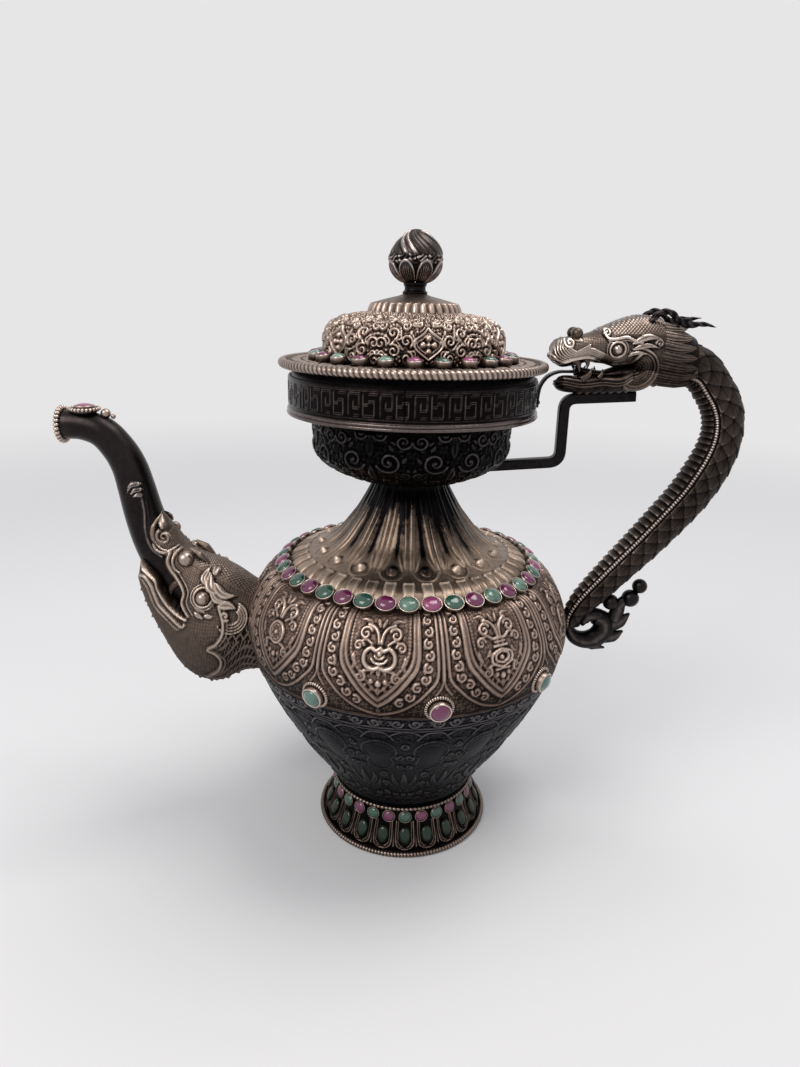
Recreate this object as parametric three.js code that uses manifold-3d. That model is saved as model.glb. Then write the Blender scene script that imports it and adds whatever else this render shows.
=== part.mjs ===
// A silver ewer on a pedestal foot, with a lift-off lid, a makara-head spout and a dragon handle.
// Millimetres, +Z up. The spout points along -X and the handle along +X. The origin lies on the ground,
// under the middle of the ewer's whole length, and the vessel's axis stands beside it.
import * as THREE from "three";
import { mergeVertices } from "three/addons/utils/BufferGeometryUtils.js";
import Module from "manifold-3d";

const wasm = await Module();
wasm.setup();

// Seats, walls and facets
const seatGap = 0.3;
const sheetWall = 1.2;
const cutOverrun = 3;
const mergeDistance = 1e-4;
const facetTolerance = 0.02;
const roundSides = 36;
const lidSides = 30;
const domeSides = 40;
const footSides = 24;
const bossSides = 10;
const beadSides = 8;
const beadRings = 5;
const quarterTurn = Math.PI / 2;

// Foot
const footRadius = 42.6;
const footTopRadius = 35.6;
const footHeight = 23.2;
const footFlangeWidth = 2.4;
const footWireRadius = 1.4;
const jointWireRadius = 0.9;
const footStoneCount = 28;
const footStoneWidth = 5.8;

// Body and neck
const bodySeatInset = 0.6;
const bellyRadius = 79.8;
const bodyHeight = 119.4;
const bellyLeafCount = 18;
const bellyLeafRise = 0.9;
const shoulderInset = 19.2;
const neckTopRadius = 17.5;
const neckHeight = 43.9;
const fluteCount = 18;
const fluteDepth = 1.1;
const shoulderStoneCount = 40;
const shoulderStoneWidth = 8.6;
const shoulderStoneLength = 7;
const shoulderStoneElevation = 56;
const shoulderBandWidth = 7.4;
const shoulderBandThickness = 1.2;
const shoulderBandReach = 4.8;

// Stone settings
const tallSettingHeight = 2.4;
const settingHeight = 1;
const lowSettingHeight = 1.3;
const settingSink = 0.9;
const cabochonRise = 0.7;

// Bosses on the belly, left out beside the spout and at the handle
const bossRadius = 6.7;
const bossStoneRadius = 4.1;
const bossHeight = 4.2;
const bossWireHeight = 1.7;
const bossStoneRise = 1.7;
const bossAngles = [-30, 10, 50, 130, 170, 210];

// Cup and collar
const cupRadius = 46.6;
const cupHeight = 31;
const cupHoleRadius = 16;
const collarRadius = 57.9;
const collarHeight = 17.5;
const collarMouldingRise = 1;
const collarMouldingHeight = 2.4;

// Lid
const lidOverhang = 4.5;
const lidWireRadius = 2.1;
const lidLift = 3.3;
const plugClearance = 0.4;
const lidStoneCount = 24;
const lidStoneWidth = 6.6;
const flangeInset = 15.9;
const domeHeight = 20.4;
const scrollRise = 1.3;
const medallionCount = 6;
const medallionRadius = 5.2;
const medallionRise = 1.6;
const medallionBearing = 8;
const capRadius = 20.8;
const capHeight = 8.4;
const capFluteCount = 30;
const capFluteDepth = 0.7;
const stemRadius = 5.2;
const stemHeight = 4.9;
const budRadius = 12.1;
const budHeight = 22.6;
const budTwistDepth = 0.5;

// Spout
const spoutReach = 90;
const spoutRise = 102.4;
const spoutSeatShare = 0.7;
const spoutSink = 1.8;
const spoutRadius = 10.3;
const spoutWall = 1.3;
const spoutHoleRadius = 11;
const mouthRingRadius = 9.1;
const mouthWireRadius = 1.5;
const spoutDiscRadius = 7.4;
const spoutDiscHeight = 2;
const spoutStoneRadius = 4.8;
const spoutStoneHeight = 1.9;
const spoutBallRadius = 2.3;

// Makara head at the spout's root
const makaraHeight = 65;
const makaraWidth = 43;
const makaraWall = 2.6;
const nostrilRadius = 4.4;
const nostrilSpread = 7;
const makaraEyeRadius = 3.4;
const crestWidth = 14;
const mouthInset = 9;

// Dragon head
const headLength = 49;
const headHeight = 30.4;
const headWidth = 27;
const snoutClearance = 1.2;
const jawHeight = 8.6;
const jawWidth = 22;
const dragonEyeRadius = 2.5;
const noseBeadRadius = 2.4;
const noseBeadSpread = 4.4;
const maneLength = 17;
const antlerRadius = 1.5;
const antlerSpread = 7.5;

// Dragon body, the handle's grip
const gripReach = 67.2;
const gripHigh = 10;
const gripWide = 9.3;
const gripSides = 8;
const plateCount = 20;
const plateStep = 0.9;
const beadLineRadius = 0.9;
const lugRadius = 4.2;
const lugLength = 2.9;
const finialThickness = 5;
const finialHeight = 39;

// Strap and bracket that tie the dragon's head to the collar and cup
const strapWidth = 6;
const strapThickness = 1.2;
const bracketBar = 5;
const bracketWidth = 6;
const bracketCorner = 2.5;
const bracketStand = 14;

// Widths that follow from a neighbour's
const shoulderRadius = bellyRadius - shoulderInset;
const lidRadius = collarRadius + lidOverhang;
const domeRadius = collarRadius - flangeInset;

// Heights of the seams, each from the piece below
const bodyBottom = footHeight + seatGap;
const spoutHeight = bodyBottom + spoutSeatShare * bodyHeight;
const shoulderHeight = bodyBottom + bodyHeight;
const neckTop = shoulderHeight + seatGap + neckHeight;
const cupBottom = neckTop + seatGap;
const cupTop = cupBottom + cupHeight;
const collarBottom = cupTop + seatGap;
const collarTop = collarBottom + collarHeight;
const flangeBottom = collarTop + lidLift + lidWireRadius;
const flangeTop = flangeBottom + sheetWall;
const domeTop = flangeTop + seatGap + domeHeight;
const capBottom = domeTop + seatGap;
const capTop = capBottom + capHeight;
const budBottom = capTop + stemHeight + seatGap;

// A geometry as a solid that can be joined and cut
function solid(geometry) {
  const bare = geometry.clone();
  bare.deleteAttribute("normal");
  bare.deleteAttribute("uv");
  const merged = mergeVertices(bare, mergeDistance);
  const triVerts = new Uint32Array(merged.index.array);
  const vertProperties = merged.attributes.position.array;
  return new wasm.Manifold(new wasm.Mesh({ numProp: 3, vertProperties, triVerts }));
}

// A solid as a geometry again, without the needless facets that cuts and joins leave
function geometryOf(body) {
  const mesh = body.asOriginal().simplify(facetTolerance).getMesh();
  const geometry = new THREE.BufferGeometry();
  geometry.setAttribute("position", new THREE.BufferAttribute(mesh.vertProperties, 3));
  geometry.setIndex(new THREE.BufferAttribute(mesh.triVerts, 1));
  return geometry;
}

// A profile of [radius, height] points turned about the Z axis, from the front anticlockwise
function lathe(profile, sides = roundSides) {
  const points = profile.map(([radius, height]) => new THREE.Vector2(radius, height));
  return new THREE.LatheGeometry(points, sides).rotateX(quarterTurn);
}

// A ring turned from a profile that closes on itself
function ring(profile, sides = roundSides) {
  return lathe([...profile, profile[0]], sides);
}

// The points of a table of [radius share, height share] at its real size
function outline(shares, radius, low, height) {
  return shares.map(([across, up]) => [across * radius, low + up * height]);
}

// A profile moved by a distance to its left, each point along the mean of its two edges' normals
function offset(profile, distance) {
  return profile.map(([radius, height], i) => {
    const before = profile[Math.max(i - 1, 0)];
    const after = profile[Math.min(i + 1, profile.length - 1)];
    const along = new THREE.Vector2(after[0] - before[0], after[1] - before[1]).normalize();
    return [radius - along.y * distance, height + along.x * distance];
  });
}

// A sheet of even wall inside an outline that runs upwards, its inner face with every second step
function sheet(outer, wall = sheetWall, first = 0) {
  const inner = offset(outer, wall).filter((point, i) => i % 2 === first || i === outer.length - 1);
  inner[0][1] = outer[0][1];
  inner[inner.length - 1][1] = outer[outer.length - 1][1];
  return [...outer, ...inner.reverse()];
}

// A round wire laid in a ring
function wireRing(radius, height, wireRadius, wireSides = 5, sides = roundSides) {
  const profile = [];
  for (let i = 0; i < wireSides; i += 1) {
    const angle = (2 * Math.PI * (i + 0.5)) / wireSides;
    profile.push([radius + wireRadius * Math.cos(angle), height + wireRadius * Math.sin(angle)]);
  }
  return ring(profile, sides);
}

// A turned geometry with its radius changed by a function of angle, radius and height
function rippled(geometry, change) {
  const place = geometry.attributes.position;
  for (let i = 0; i < place.count; i += 1) {
    const radius = Math.hypot(place.getX(i), place.getY(i));
    if (radius === 0) continue;
    const angle = Math.atan2(place.getX(i), -place.getY(i));
    const scale = 1 + change(angle, radius, place.getZ(i)) / radius;
    place.setXY(i, place.getX(i) * scale, place.getY(i) * scale);
  }
  return geometry;
}

// Which point of an outline a turned vertex belongs to, or -1
function rowOf(points, radius, height) {
  const reach = mergeDistance * radius;
  return points.findIndex(([out, up]) => Math.hypot(out - radius, up - height) < reach);
}

// A closed skin over a row of rings with as many points each, flat at both ends
function loft(rings) {
  const sides = rings[0].length;
  const last = (rings.length - 1) * sides;
  const index = [];
  for (let row = 0; row < last; row += sides)
    for (let s = 0; s < sides; s += 1) {
      const next = (s + 1) % sides;
      index.push(row + s, row + sides + next, row + next);
      index.push(row + s, row + sides + s, row + sides + next);
    }
  for (let s = 1; s < sides - 1; s += 1) {
    index.push(0, s, s + 1);
    index.push(last, last + s + 1, last + s);
  }
  const geometry = new THREE.BufferGeometry().setFromPoints(rings.flat());
  return geometry.setIndex(index);
}

// One oval ring of a loft: its centre in the XZ plane, its lean from upright, half height, half width
function oval({ x, z, y = 0, lean, high, wide, sides = 12, belly = 1, power = 1 }) {
  const points = [];
  for (let s = 0; s < sides; s += 1) {
    const angle = (2 * Math.PI * (s + 0.5)) / sides;
    const up = Math.sign(Math.cos(angle)) * Math.abs(Math.cos(angle)) ** power;
    const out = Math.sign(Math.sin(angle)) * Math.abs(Math.sin(angle)) ** power;
    const rise = up * high * (up < 0 ? belly : 1);
    const place = [x + rise * Math.sin(lean), y + out * wide, z + rise * Math.cos(lean)];
    points.push(new THREE.Vector3(...place));
  }
  return points;
}

// A tapering limb along a path of points, with a half height and half width at each
function limb(points, highs, wides, steps, options = {}) {
  const curve = new THREE.CatmullRomCurve3(points);
  const rings = [];
  for (let i = 0; i <= steps; i += 1) {
    const t = i / steps;
    const at = curve.getPoint(t);
    const along = curve.getTangent(t);
    const lean = Math.atan2(-along.z, along.x);
    const high = between(highs, t);
    const wide = between(wides, t);
    rings.push(oval({ x: at.x, y: at.y, z: at.z, lean, high, wide, ...options }));
  }
  return loft(rings);
}

// The value of an evenly spaced table at a share of its length
function between(table, t) {
  const place = t * (table.length - 1);
  const low = Math.min(Math.floor(place), table.length - 2);
  return THREE.MathUtils.lerp(table[low], table[low + 1], place - low);
}

// One stone in its bezel, standing on the XY plane and sunk a little into what carries it
function setting(width, length, height, sides = 6) {
  const profile = [
    [0, -settingSink],
    [width / 2, -settingSink],
    [width / 2, height],
    [0, height + cabochonRise],
  ];
  return lathe(profile, sides).scale(1, length / width, 1);
}

// A band with one facet for each stone of its row; the stones face outwards, an elevation above level
function stoneRow(band, count, makeStone, radius, height, elevation) {
  let row = solid(band.rotateZ(Math.PI / count));
  const facetRadius = radius * Math.cos(Math.PI / count);
  for (let i = 0; i < count; i += 1) {
    const stone = makeStone().rotateX(quarterTurn - elevation);
    stone.translate(0, -facetRadius, height).rotateZ((2 * Math.PI * i) / count);
    row = row.add(solid(stone));
  }
  return row;
}

// The flared foot's outline, as shares of the flare from top radius to rim, and of the height
const footShares = [
  [1, 0],
  [0.94, 0.12],
  [0.46, 0.45],
  [0.23, 0.65],
  [0, 1],
];

function footOutline(grow = 0) {
  const flare = footRadius - footTopRadius;
  return footShares.map(([out, up]) => [footTopRadius + out * flare + grow, up * footHeight]);
}

function makeFootShell() {
  const outer = footOutline();
  const inner = footOutline(-sheetWall).filter((point, i) => i % 2 === 0).reverse();
  inner[inner.length - 1][0] = footRadius - footFlangeWidth;
  return solid(ring([...outer, ...inner], footSides));
}

// The row of small stones near the foot's top, on a band that follows the flare
function makeFootStoneRow() {
  const lowShare = 0.68;
  const highShare = 0.95;
  const skin = (up) => footRadiusAt(up) + seatGap;
  const band = ring([
    [skin(lowShare) + sheetWall, lowShare * footHeight],
    [skin(highShare) + sheetWall, highShare * footHeight],
    [skin(highShare), highShare * footHeight],
    [skin(lowShare), lowShare * footHeight],
  ], footStoneCount);
  const middleShare = (lowShare + highShare) / 2;
  const stone = () => setting(footStoneWidth, footStoneWidth, lowSettingHeight);
  const seat = (skin(lowShare) + skin(highShare)) / 2 + sheetWall;
  const lean = Math.atan2(skin(lowShare) - skin(highShare), (highShare - lowShare) * footHeight);
  return stoneRow(band, footStoneCount, stone, seat, middleShare * footHeight, lean);
}

// The foot's radius at a share of its height
function footRadiusAt(up) {
  const above = footShares.findIndex((share) => share[1] >= up);
  const [low, high] = [footShares[above - 1], footShares[above]];
  const out = THREE.MathUtils.mapLinear(up, low[1], high[1], low[0], high[0]);
  return footTopRadius + out * (footRadius - footTopRadius);
}

// The belly's outline above its seat on the foot, as shares of its radius and of the body's height
const bellyShares = [
  [0.519, 0.0883],
  [0.674, 0.2558],
  [0.84, 0.4395],
  [0.942, 0.5908],
  [0.975, 0.6547],
  [1, 0.741],
  [0.98, 0.8415],
  [0.927, 0.9257],
  [0.857, 0.9841],
];
const seamIndex = 4;

function bellyOutline(grow = 0) {
  const points = outline(bellyShares, bellyRadius, bodyBottom, bodyHeight);
  points.unshift([footTopRadius - bodySeatInset, bodyBottom]);
  points.push([shoulderRadius, shoulderHeight]);
  return grow ? offset(points, -grow) : points;
}

// Two staggered rings of upright leaves swell out of the lower belly, at these points of its outline
const leafIndices = [2, 3];

function leafed(profile, points) {
  return rippled(lathe(profile, 2 * bellyLeafCount), (angle, radius, height) => {
    const row = rowOf(points, radius, height);
    if (!leafIndices.includes(row)) return 0;
    return bellyLeafRise * Math.cos((bellyLeafCount * angle + row * Math.PI) / 2) ** 2;
  });
}

// The whole belly as one block, to seat what stands on it
function bellyBlock(grow) {
  const points = bellyOutline(grow);
  return solid(leafed([[0, points[0][1]], ...points, [0, shoulderHeight]], points));
}

function makeBodyLower() {
  const outer = bellyOutline().slice(0, seamIndex + 1);
  const inner = offset(outer, sheetWall).filter((point, i) => i > 0 && i % 2 === 0);
  inner[inner.length - 1][1] = outer[seamIndex][1];
  const floor = bodyBottom + sheetWall;
  const bottom = [[outer[0][0] - sheetWall, floor], [0, floor]];
  return solid(leafed([[0, bodyBottom], ...outer, ...inner.reverse(), ...bottom], outer));
}

function makeBodyUpper() {
  const outer = bellyOutline().slice(seamIndex);
  outer[0] = [outer[0][0], outer[0][1] + seatGap];
  const hole = new THREE.CylinderGeometry(spoutHoleRadius, spoutHoleRadius, bellyRadius, roundSides / 2);
  hole.rotateZ(quarterTurn).translate(-bellyRadius, 0, spoutHeight);
  return solid(ring(sheet(outer))).subtract(solid(hole));
}

// The neck's outline, as shares of the way from top radius to shoulder radius, and of its height
const neckShares = [
  [1, 0],
  [0.893, 0.114],
  [0.754, 0.169],
  [0.545, 0.264],
  [0.39, 0.383],
  [0.239, 0.565],
  [0.03, 0.907],
  [0, 1],
];

function neckOutline(grow = 0) {
  const flare = shoulderRadius - neckTopRadius;
  const low = shoulderHeight + seatGap;
  return neckShares.map(([out, up]) => [neckTopRadius + out * flare, low + up * neckHeight + grow]);
}

// The flutes start above the shoulder's plate and fade into the neck's foot
function makeNeck() {
  const outer = neckOutline();
  const plateTopShare = 0.17;
  const turned = ring(sheet(outer, sheetWall, 1), 2 * fluteCount);
  return solid(rippled(turned, (angle, radius, height) => {
    const up = (height - outer[0][1]) / neckHeight;
    const fade = THREE.MathUtils.smoothstep(up, plateTopShare, 2 * plateTopShare);
    return -fade * fluteDepth * Math.sin((fluteCount * angle) / 2) ** 2;
  }));
}

// The row of tilted stones on the shoulder, on a strip that leans across the joint of belly and neck
function makeShoulderStoneRow() {
  const [below, joint] = bellyOutline().slice(-2);
  const elevation = THREE.MathUtils.degToRad(shoulderStoneElevation);
  const outer = joint[0] + shoulderBandReach;
  const inner = outer - shoulderBandWidth * Math.sin(elevation);
  const seat = THREE.MathUtils.mapLinear(outer, below[0], joint[0], below[1], joint[1]) + 2 * seatGap;
  const depth = [Math.cos(elevation), Math.sin(elevation)].map((share) => share * shoulderBandThickness);
  const faceLow = seat + depth[1];
  const faceHigh = faceLow + shoulderBandWidth * Math.cos(elevation);
  const band = ring([
    [inner - depth[0], faceHigh - depth[1]],
    [outer - depth[0], seat],
    [outer, faceLow],
    [inner, faceHigh],
  ], shoulderStoneCount);
  const stone = () => setting(shoulderStoneWidth, shoulderStoneLength, settingHeight);
  const middle = [(outer + inner) / 2, (faceLow + faceHigh) / 2];
  return stoneRow(band, shoulderStoneCount, stone, middle[0], middle[1], elevation);
}

// One boss on the front: a milled wire and a tall bezel, cut to the belly's curve
function makeBossBezel(block) {
  const seat = bossStoneRadius + seatGap;
  const lip = seat + sheetWall / 2;
  const bezel = lathe([
    [0, -cutOverrun],
    [bossRadius, -cutOverrun],
    [bossRadius, bossWireHeight],
    [lip + seatGap, bossWireHeight + seatGap],
    [lip, bossHeight],
    [seat, bossHeight],
    [seat, bossHeight - bossStoneRise],
    [0, bossHeight - bossStoneRise],
  ], bossSides);
  return solid(standOnBelly(bezel)).subtract(block);
}

function makeBossStone() {
  const foot = bossHeight - bossStoneRise + seatGap;
  const shoulder = bossHeight + seatGap;
  return solid(standOnBelly(lathe([
    [0, foot],
    [bossStoneRadius, foot],
    [bossStoneRadius, shoulder],
    [bossStoneRadius * 0.6, shoulder + bossStoneRise * 0.7],
    [0, shoulder + bossStoneRise],
  ], bossSides)));
}

// Carries a geometry from the XY plane to the belly's front, at the bosses' height
function standOnBelly(geometry) {
  const [low, high] = bellyOutline().slice(seamIndex + 1, seamIndex + 3);
  const share = 0.4;
  const radius = low[0] + share * (high[0] - low[0]);
  const height = low[1] + share * (high[1] - low[1]);
  const slope = Math.atan2(high[0] - low[0], high[1] - low[1]);
  return geometry.rotateX(quarterTurn + slope).translate(0, -radius, height);
}

// The cup's outline, as shares of its radius and height
const cupShares = [
  [0.395, 0],
  [0.56, 0.06],
  [0.74, 0.16],
  [0.89, 0.29],
  [0.985, 0.46],
  [0.996, 1],
];

function cupOutline() {
  return outline(cupShares, cupRadius, cupBottom, cupHeight);
}

function makeCup() {
  const outer = cupOutline();
  const inner = offset(outer, sheetWall).filter((point, i) => i % 2 === 1);
  inner[inner.length - 1][1] = outer[outer.length - 1][1];
  const floor = [cupHoleRadius, cupBottom + sheetWall];
  return solid(ring([[cupHoleRadius, cupBottom], ...outer, ...inner.reverse(), floor], lidSides));
}

function makeCollar() {
  const inside = collarRadius - sheetWall;
  const moulded = collarRadius + collarMouldingRise;
  return solid(ring([
    [cupRadius - sheetWall, collarBottom],
    [moulded, collarBottom],
    [moulded, collarBottom + collarMouldingHeight],
    [collarRadius, collarBottom + collarMouldingHeight + collarMouldingRise],
    [collarRadius, collarTop],
    [inside, collarTop],
    [inside, collarBottom + sheetWall],
    [cupRadius - sheetWall, collarBottom + sheetWall],
  ], lidSides));
}

// The flange ends inside the rim wire and starts under the dome's foot
function makeLidFlange() {
  const outer = lidRadius - 2 * lidWireRadius - seatGap;
  const inner = 0.9 * domeRadius;
  return solid(ring([
    [inner, flangeBottom],
    [outer, flangeBottom],
    [outer, flangeTop],
    [inner, flangeTop],
  ], lidSides));
}

function makeLidPlug() {
  const outer = collarRadius - sheetWall - plugClearance;
  const low = collarBottom + sheetWall + seatGap;
  const high = flangeBottom - seatGap;
  return solid(ring([
    [outer - sheetWall, low],
    [outer, low],
    [outer, high],
    [outer - sheetWall, high],
  ], lidSides));
}

function makeLidStoneRow() {
  const low = flangeTop + seatGap;
  const radius = domeRadius + seatGap + lidStoneWidth / 2;
  const half = lidStoneWidth / 2 + seatGap / 2;
  const band = ring([
    [radius - half, low],
    [radius + half, low],
    [radius + half, low + settingSink + seatGap],
    [radius - half, low + settingSink + seatGap],
  ], lidStoneCount);
  const stone = () => setting(lidStoneWidth, lidStoneWidth, tallSettingHeight);
  return stoneRow(band, lidStoneCount, stone, radius, low + settingSink + seatGap, quarterTurn);
}

// The cushion dome's outline, as shares of its radius and height
const domeShares = [
  [0.93, 0],
  [1, 0.26],
  [0.99, 0.55],
  [0.87, 0.82],
  [0.7, 0.95],
  [0.5, 1],
];

// The dome is raised into staggered rows of scroll knobs between its foot and its top, with pointed
// medallions on its side
function makeLidDome() {
  const outer = outline(domeShares, domeRadius, flangeTop + seatGap, domeHeight);
  const turned = rippled(ring(sheet(outer), domeSides), (angle, radius, height) => {
    const row = rowOf(outer, radius, height);
    if (row < 1 || row > outer.length - 2) return 0;
    return scrollRise * Math.cos((domeSides * angle) / 4 + (row * Math.PI) / 2) ** 2;
  });
  const [low, high] = outer.slice(1, 3);
  const middle = THREE.MathUtils.lerp(low[1], high[1], 0.8);
  let dome = solid(turned);
  for (let i = 0; i < medallionCount; i += 1) {
    const medallion = makeMedallion().rotateX(quarterTurn);
    const turn = THREE.MathUtils.degToRad(medallionBearing) + (2 * Math.PI * i) / medallionCount;
    dome = dome.add(solid(medallion.translate(0, -high[0], middle).rotateZ(turn)));
  }
  return dome;
}

// One pointed medallion with its pearls as one knob, standing on the XY plane
function makeMedallion() {
  const sides = 6;
  const tall = 1.2;
  return lathe([
    [0, -settingSink],
    [medallionRadius, -settingSink],
    [medallionRadius, medallionRise],
    [medallionRadius / 2, medallionRise + cabochonRise],
    [0, medallionRise + cabochonRise],
  ], sides).scale(1, tall, 1);
}

function makeLidCap() {
  const wallShare = 0.54;
  const waist = 0.9 * capRadius;
  const outer = [
    [capRadius, capBottom],
    [waist, capBottom + wallShare * capHeight],
    [stemRadius, capTop],
  ];
  const inner = [
    [stemRadius - sheetWall / 2, capTop - sheetWall],
    [capRadius - 2 * sheetWall, capBottom],
  ];
  const turned = ring([...outer, ...inner], 2 * capFluteCount);
  return solid(rippled(turned, (angle, radius, height) => {
    const onWall = radius > waist - seatGap && height < capBottom + capHeight / 2 + seatGap;
    return onWall ? -capFluteDepth * Math.sin((capFluteCount * angle) / 2) ** 2 : 0;
  }));
}

function makeFinialStem() {
  const low = capTop + seatGap;
  const tenon = stemRadius - sheetWall / 2 - seatGap - plugClearance;
  return solid(lathe([
    [0, capTop - 2 * sheetWall],
    [tenon, capTop - 2 * sheetWall],
    [tenon, low],
    [1.1 * stemRadius, low],
    [0.92 * stemRadius, low + 0.5 * stemHeight],
    [stemRadius, low + stemHeight - seatGap],
    [0, low + stemHeight - seatGap],
  ], 16));
}

// The bud's outline, as shares of its radius and height
const budShares = [
  [0, 0],
  [0.42, 0.01],
  [0.72, 0.09],
  [0.93, 0.23],
  [1, 0.4],
  [0.95, 0.56],
  [0.78, 0.72],
  [0.5, 0.85],
  [0.2, 0.95],
  [0, 1],
];

function makeFinialBud() {
  const turned = lathe(outline(budShares, budRadius, budBottom + seatGap, budHeight), 24);
  const petals = 6;
  const twist = 2.2;
  return solid(rippled(turned, (angle, radius, height) => {
    const up = (height - budBottom) / budHeight;
    return budTwistDepth * Math.cos(petals * angle + (petals / twist) * up) * Math.sin(Math.PI * up);
  }));
}

// The spout's middle line from the head's inside to the mouth, in shares of reach and rise
const spoutPathShares = [
  [-0.444, 0.244],
  [-0.511, 0.352],
  [-0.561, 0.464],
  [-0.599, 0.584],
  [-0.627, 0.703],
  [-0.656, 0.806],
  [-0.706, 0.892],
  [-0.783, 0.967],
  [-0.889, 0.998],
  [-1, 1],
];
const spoutRadiusShares = [1, 1, 0.97, 0.91, 0.86, 0.81, 0.77, 0.74, 0.69, 0.68];
const spoutSteps = 13;
const spoutRoot = bellyRadius - spoutSink;

function spoutPoint([out, up], y = 0) {
  return new THREE.Vector3(out * spoutReach - spoutRoot, y, up * spoutRise + spoutHeight);
}

function spoutSkin(grow, overrun = 0) {
  const points = spoutPathShares.map((share) => spoutPoint(share));
  if (overrun) {
    const [first, second] = points;
    points.unshift(first.clone().add(first.clone().sub(second).setLength(overrun)));
    points.push(points[points.length - 1].clone().add(new THREE.Vector3(-overrun, 0, 0)));
  }
  const shares = [...spoutRadiusShares];
  if (overrun) {
    shares.unshift(shares[0]);
    shares.push(shares[shares.length - 1]);
  }
  const radii = shares.map((share) => share * spoutRadius + grow);
  return solid(limb(points, radii, radii, spoutSteps, { sides: 10 }));
}

function makeSpoutTube() {
  return spoutSkin(0).subtract(spoutSkin(-spoutWall, cutOverrun));
}

// A half-round ring on the spout's mouth, just outside the tube
const mouthSides = 18;

function makeMouthRing() {
  const inner = spoutRadiusShares[spoutRadiusShares.length - 1] * spoutRadius + seatGap;
  const wire = ring([
    [inner, -mouthWireRadius],
    [mouthRingRadius - seatGap, -mouthWireRadius],
    [mouthRingRadius, 0],
    [mouthRingRadius - seatGap, mouthWireRadius],
    [inner, mouthWireRadius],
  ], mouthSides).rotateY(quarterTurn);
  const mouth = spoutPoint([-1, 1]);
  return solid(wire.translate(mouth.x + mouthWireRadius, 0, mouth.z));
}

// The disc and stone on top of the mouth, and the ball behind them
const discPlace = spoutPoint([-0.868, 1.082]);

function makeSpoutDisc() {
  const disc = lathe([
    [0, -cutOverrun],
    [spoutDiscRadius * 0.8, -cutOverrun],
    [spoutDiscRadius, 0],
    [spoutDiscRadius, spoutDiscHeight / 2],
    [spoutDiscRadius * 0.8, spoutDiscHeight],
    [0, spoutDiscHeight],
  ], 16);
  disc.translate(discPlace.x, 0, discPlace.z - spoutDiscHeight);
  return solid(disc).subtract(spoutSkin(seatGap, cutOverrun)).subtract(mouthRingBlock());
}

function mouthRingBlock() {
  const mouth = spoutPoint([-1, 1]);
  const reach = mouthWireRadius + seatGap;
  const radius = mouthRingRadius + seatGap;
  const block = new THREE.CylinderGeometry(radius, radius, 2 * reach, mouthSides);
  return solid(block.rotateZ(quarterTurn).translate(mouth.x + mouthWireRadius, 0, mouth.z));
}

function makeSpoutStone() {
  const stone = lathe([
    [0, seatGap],
    [spoutStoneRadius, seatGap],
    [spoutStoneRadius, spoutStoneHeight * 0.6],
    [0, spoutStoneHeight],
  ], 14);
  return solid(stone.translate(discPlace.x, 0, discPlace.z));
}

function makeSpoutBall() {
  const at = spoutPoint([-0.757, 1.055]);
  const ball = new THREE.SphereGeometry(spoutBallRadius, beadSides, beadRings).translate(at.x, 0, at.z);
  return solid(ball).subtract(spoutSkin(seatGap, cutOverrun));
}

// The makara head: place in shares of reach and rise, lean in degrees, half height and width as shares
const makaraShares = [
  [0.078, -0.01, 0, 0.338, 0.395],
  [-0.028, -0.003, 8, 0.369, 0.44],
  [-0.172, 0.004, 10, 0.478, 0.5],
  [-0.322, 0.064, 13, 0.483, 0.47],
  [-0.447, 0.192, 20, 0.372, 0.39],
  [-0.524, 0.337, 32, 0.281, 0.32],
  [-0.563, 0.471, 41, 0.206, 0.255],
];

function makaraSkin(grow, sections = makaraShares.length) {
  const rings = makaraShares.slice(0, sections).map(([out, up, lean, high, wide]) => {
    const at = spoutPoint([out, up]);
    return oval({
      x: at.x,
      z: at.z,
      lean: THREE.MathUtils.degToRad(lean),
      high: high * makaraHeight + grow,
      wide: wide * makaraWidth + grow,
      sides: 12,
      power: 0.9,
    });
  });
  return solid(loft(rings.reverse()));
}

// A flat shape of [across, up] shares, extruded along Y between two distances from the middle plane
function plate(shares, place, y, thickness) {
  const shape = new THREE.Shape(shares.map((share) => {
    const at = place(share);
    return new THREE.Vector2(at.x, at.z);
  }));
  const geometry = new THREE.ExtrudeGeometry(shape, { depth: thickness, bevelEnabled: false });
  return solid(geometry.rotateX(quarterTurn).translate(0, y + thickness, 0));
}

// The head is hollow up to the section where the trunk fills it
const hollowSections = 5;

// The nostrils, and the open mouth beside the trunk, in shares of reach and rise
const nostrilShares = [-0.355, 0.37];
const mouthShares = [
  [-0.367, 0.103],
  [-0.467, 0.176],
  [-0.628, 0.308],
  [-0.622, 0.42],
  [-0.461, 0.41],
  [-0.428, 0.303],
  [-0.383, 0.195],
];

function nostrilBalls(grow) {
  const [near, far] = [-1, 1].map((side) => {
    const at = spoutPoint(nostrilShares, side * nostrilSpread);
    return solid(new THREE.SphereGeometry(nostrilRadius + grow, beadSides, beadRings).translate(...at));
  });
  return near.add(far);
}

// The head with its hollow, its open mouth and its two nostril balls
function makeMakaraHead() {
  let head = makaraSkin(0).add(nostrilBalls(0));
  for (const low of [-makaraWidth, mouthInset])
    head = head.subtract(plate(mouthShares, spoutPoint, low, makaraWidth - mouthInset));
  return head
    .subtract(makaraSkin(-makaraWall, hollowSections))
    .subtract(spoutSkin(seatGap, cutOverrun))
    .subtract(bellyBlock(seatGap));
}

function makeMakaraEye(side) {
  const at = spoutPoint([-0.246, 0.21], side * 0.42 * makaraWidth);
  const ball = new THREE.SphereGeometry(makaraEyeRadius, beadSides, beadRings).translate(at.x, at.y, at.z);
  return solid(ball).subtract(makaraSkin(seatGap));
}

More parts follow.
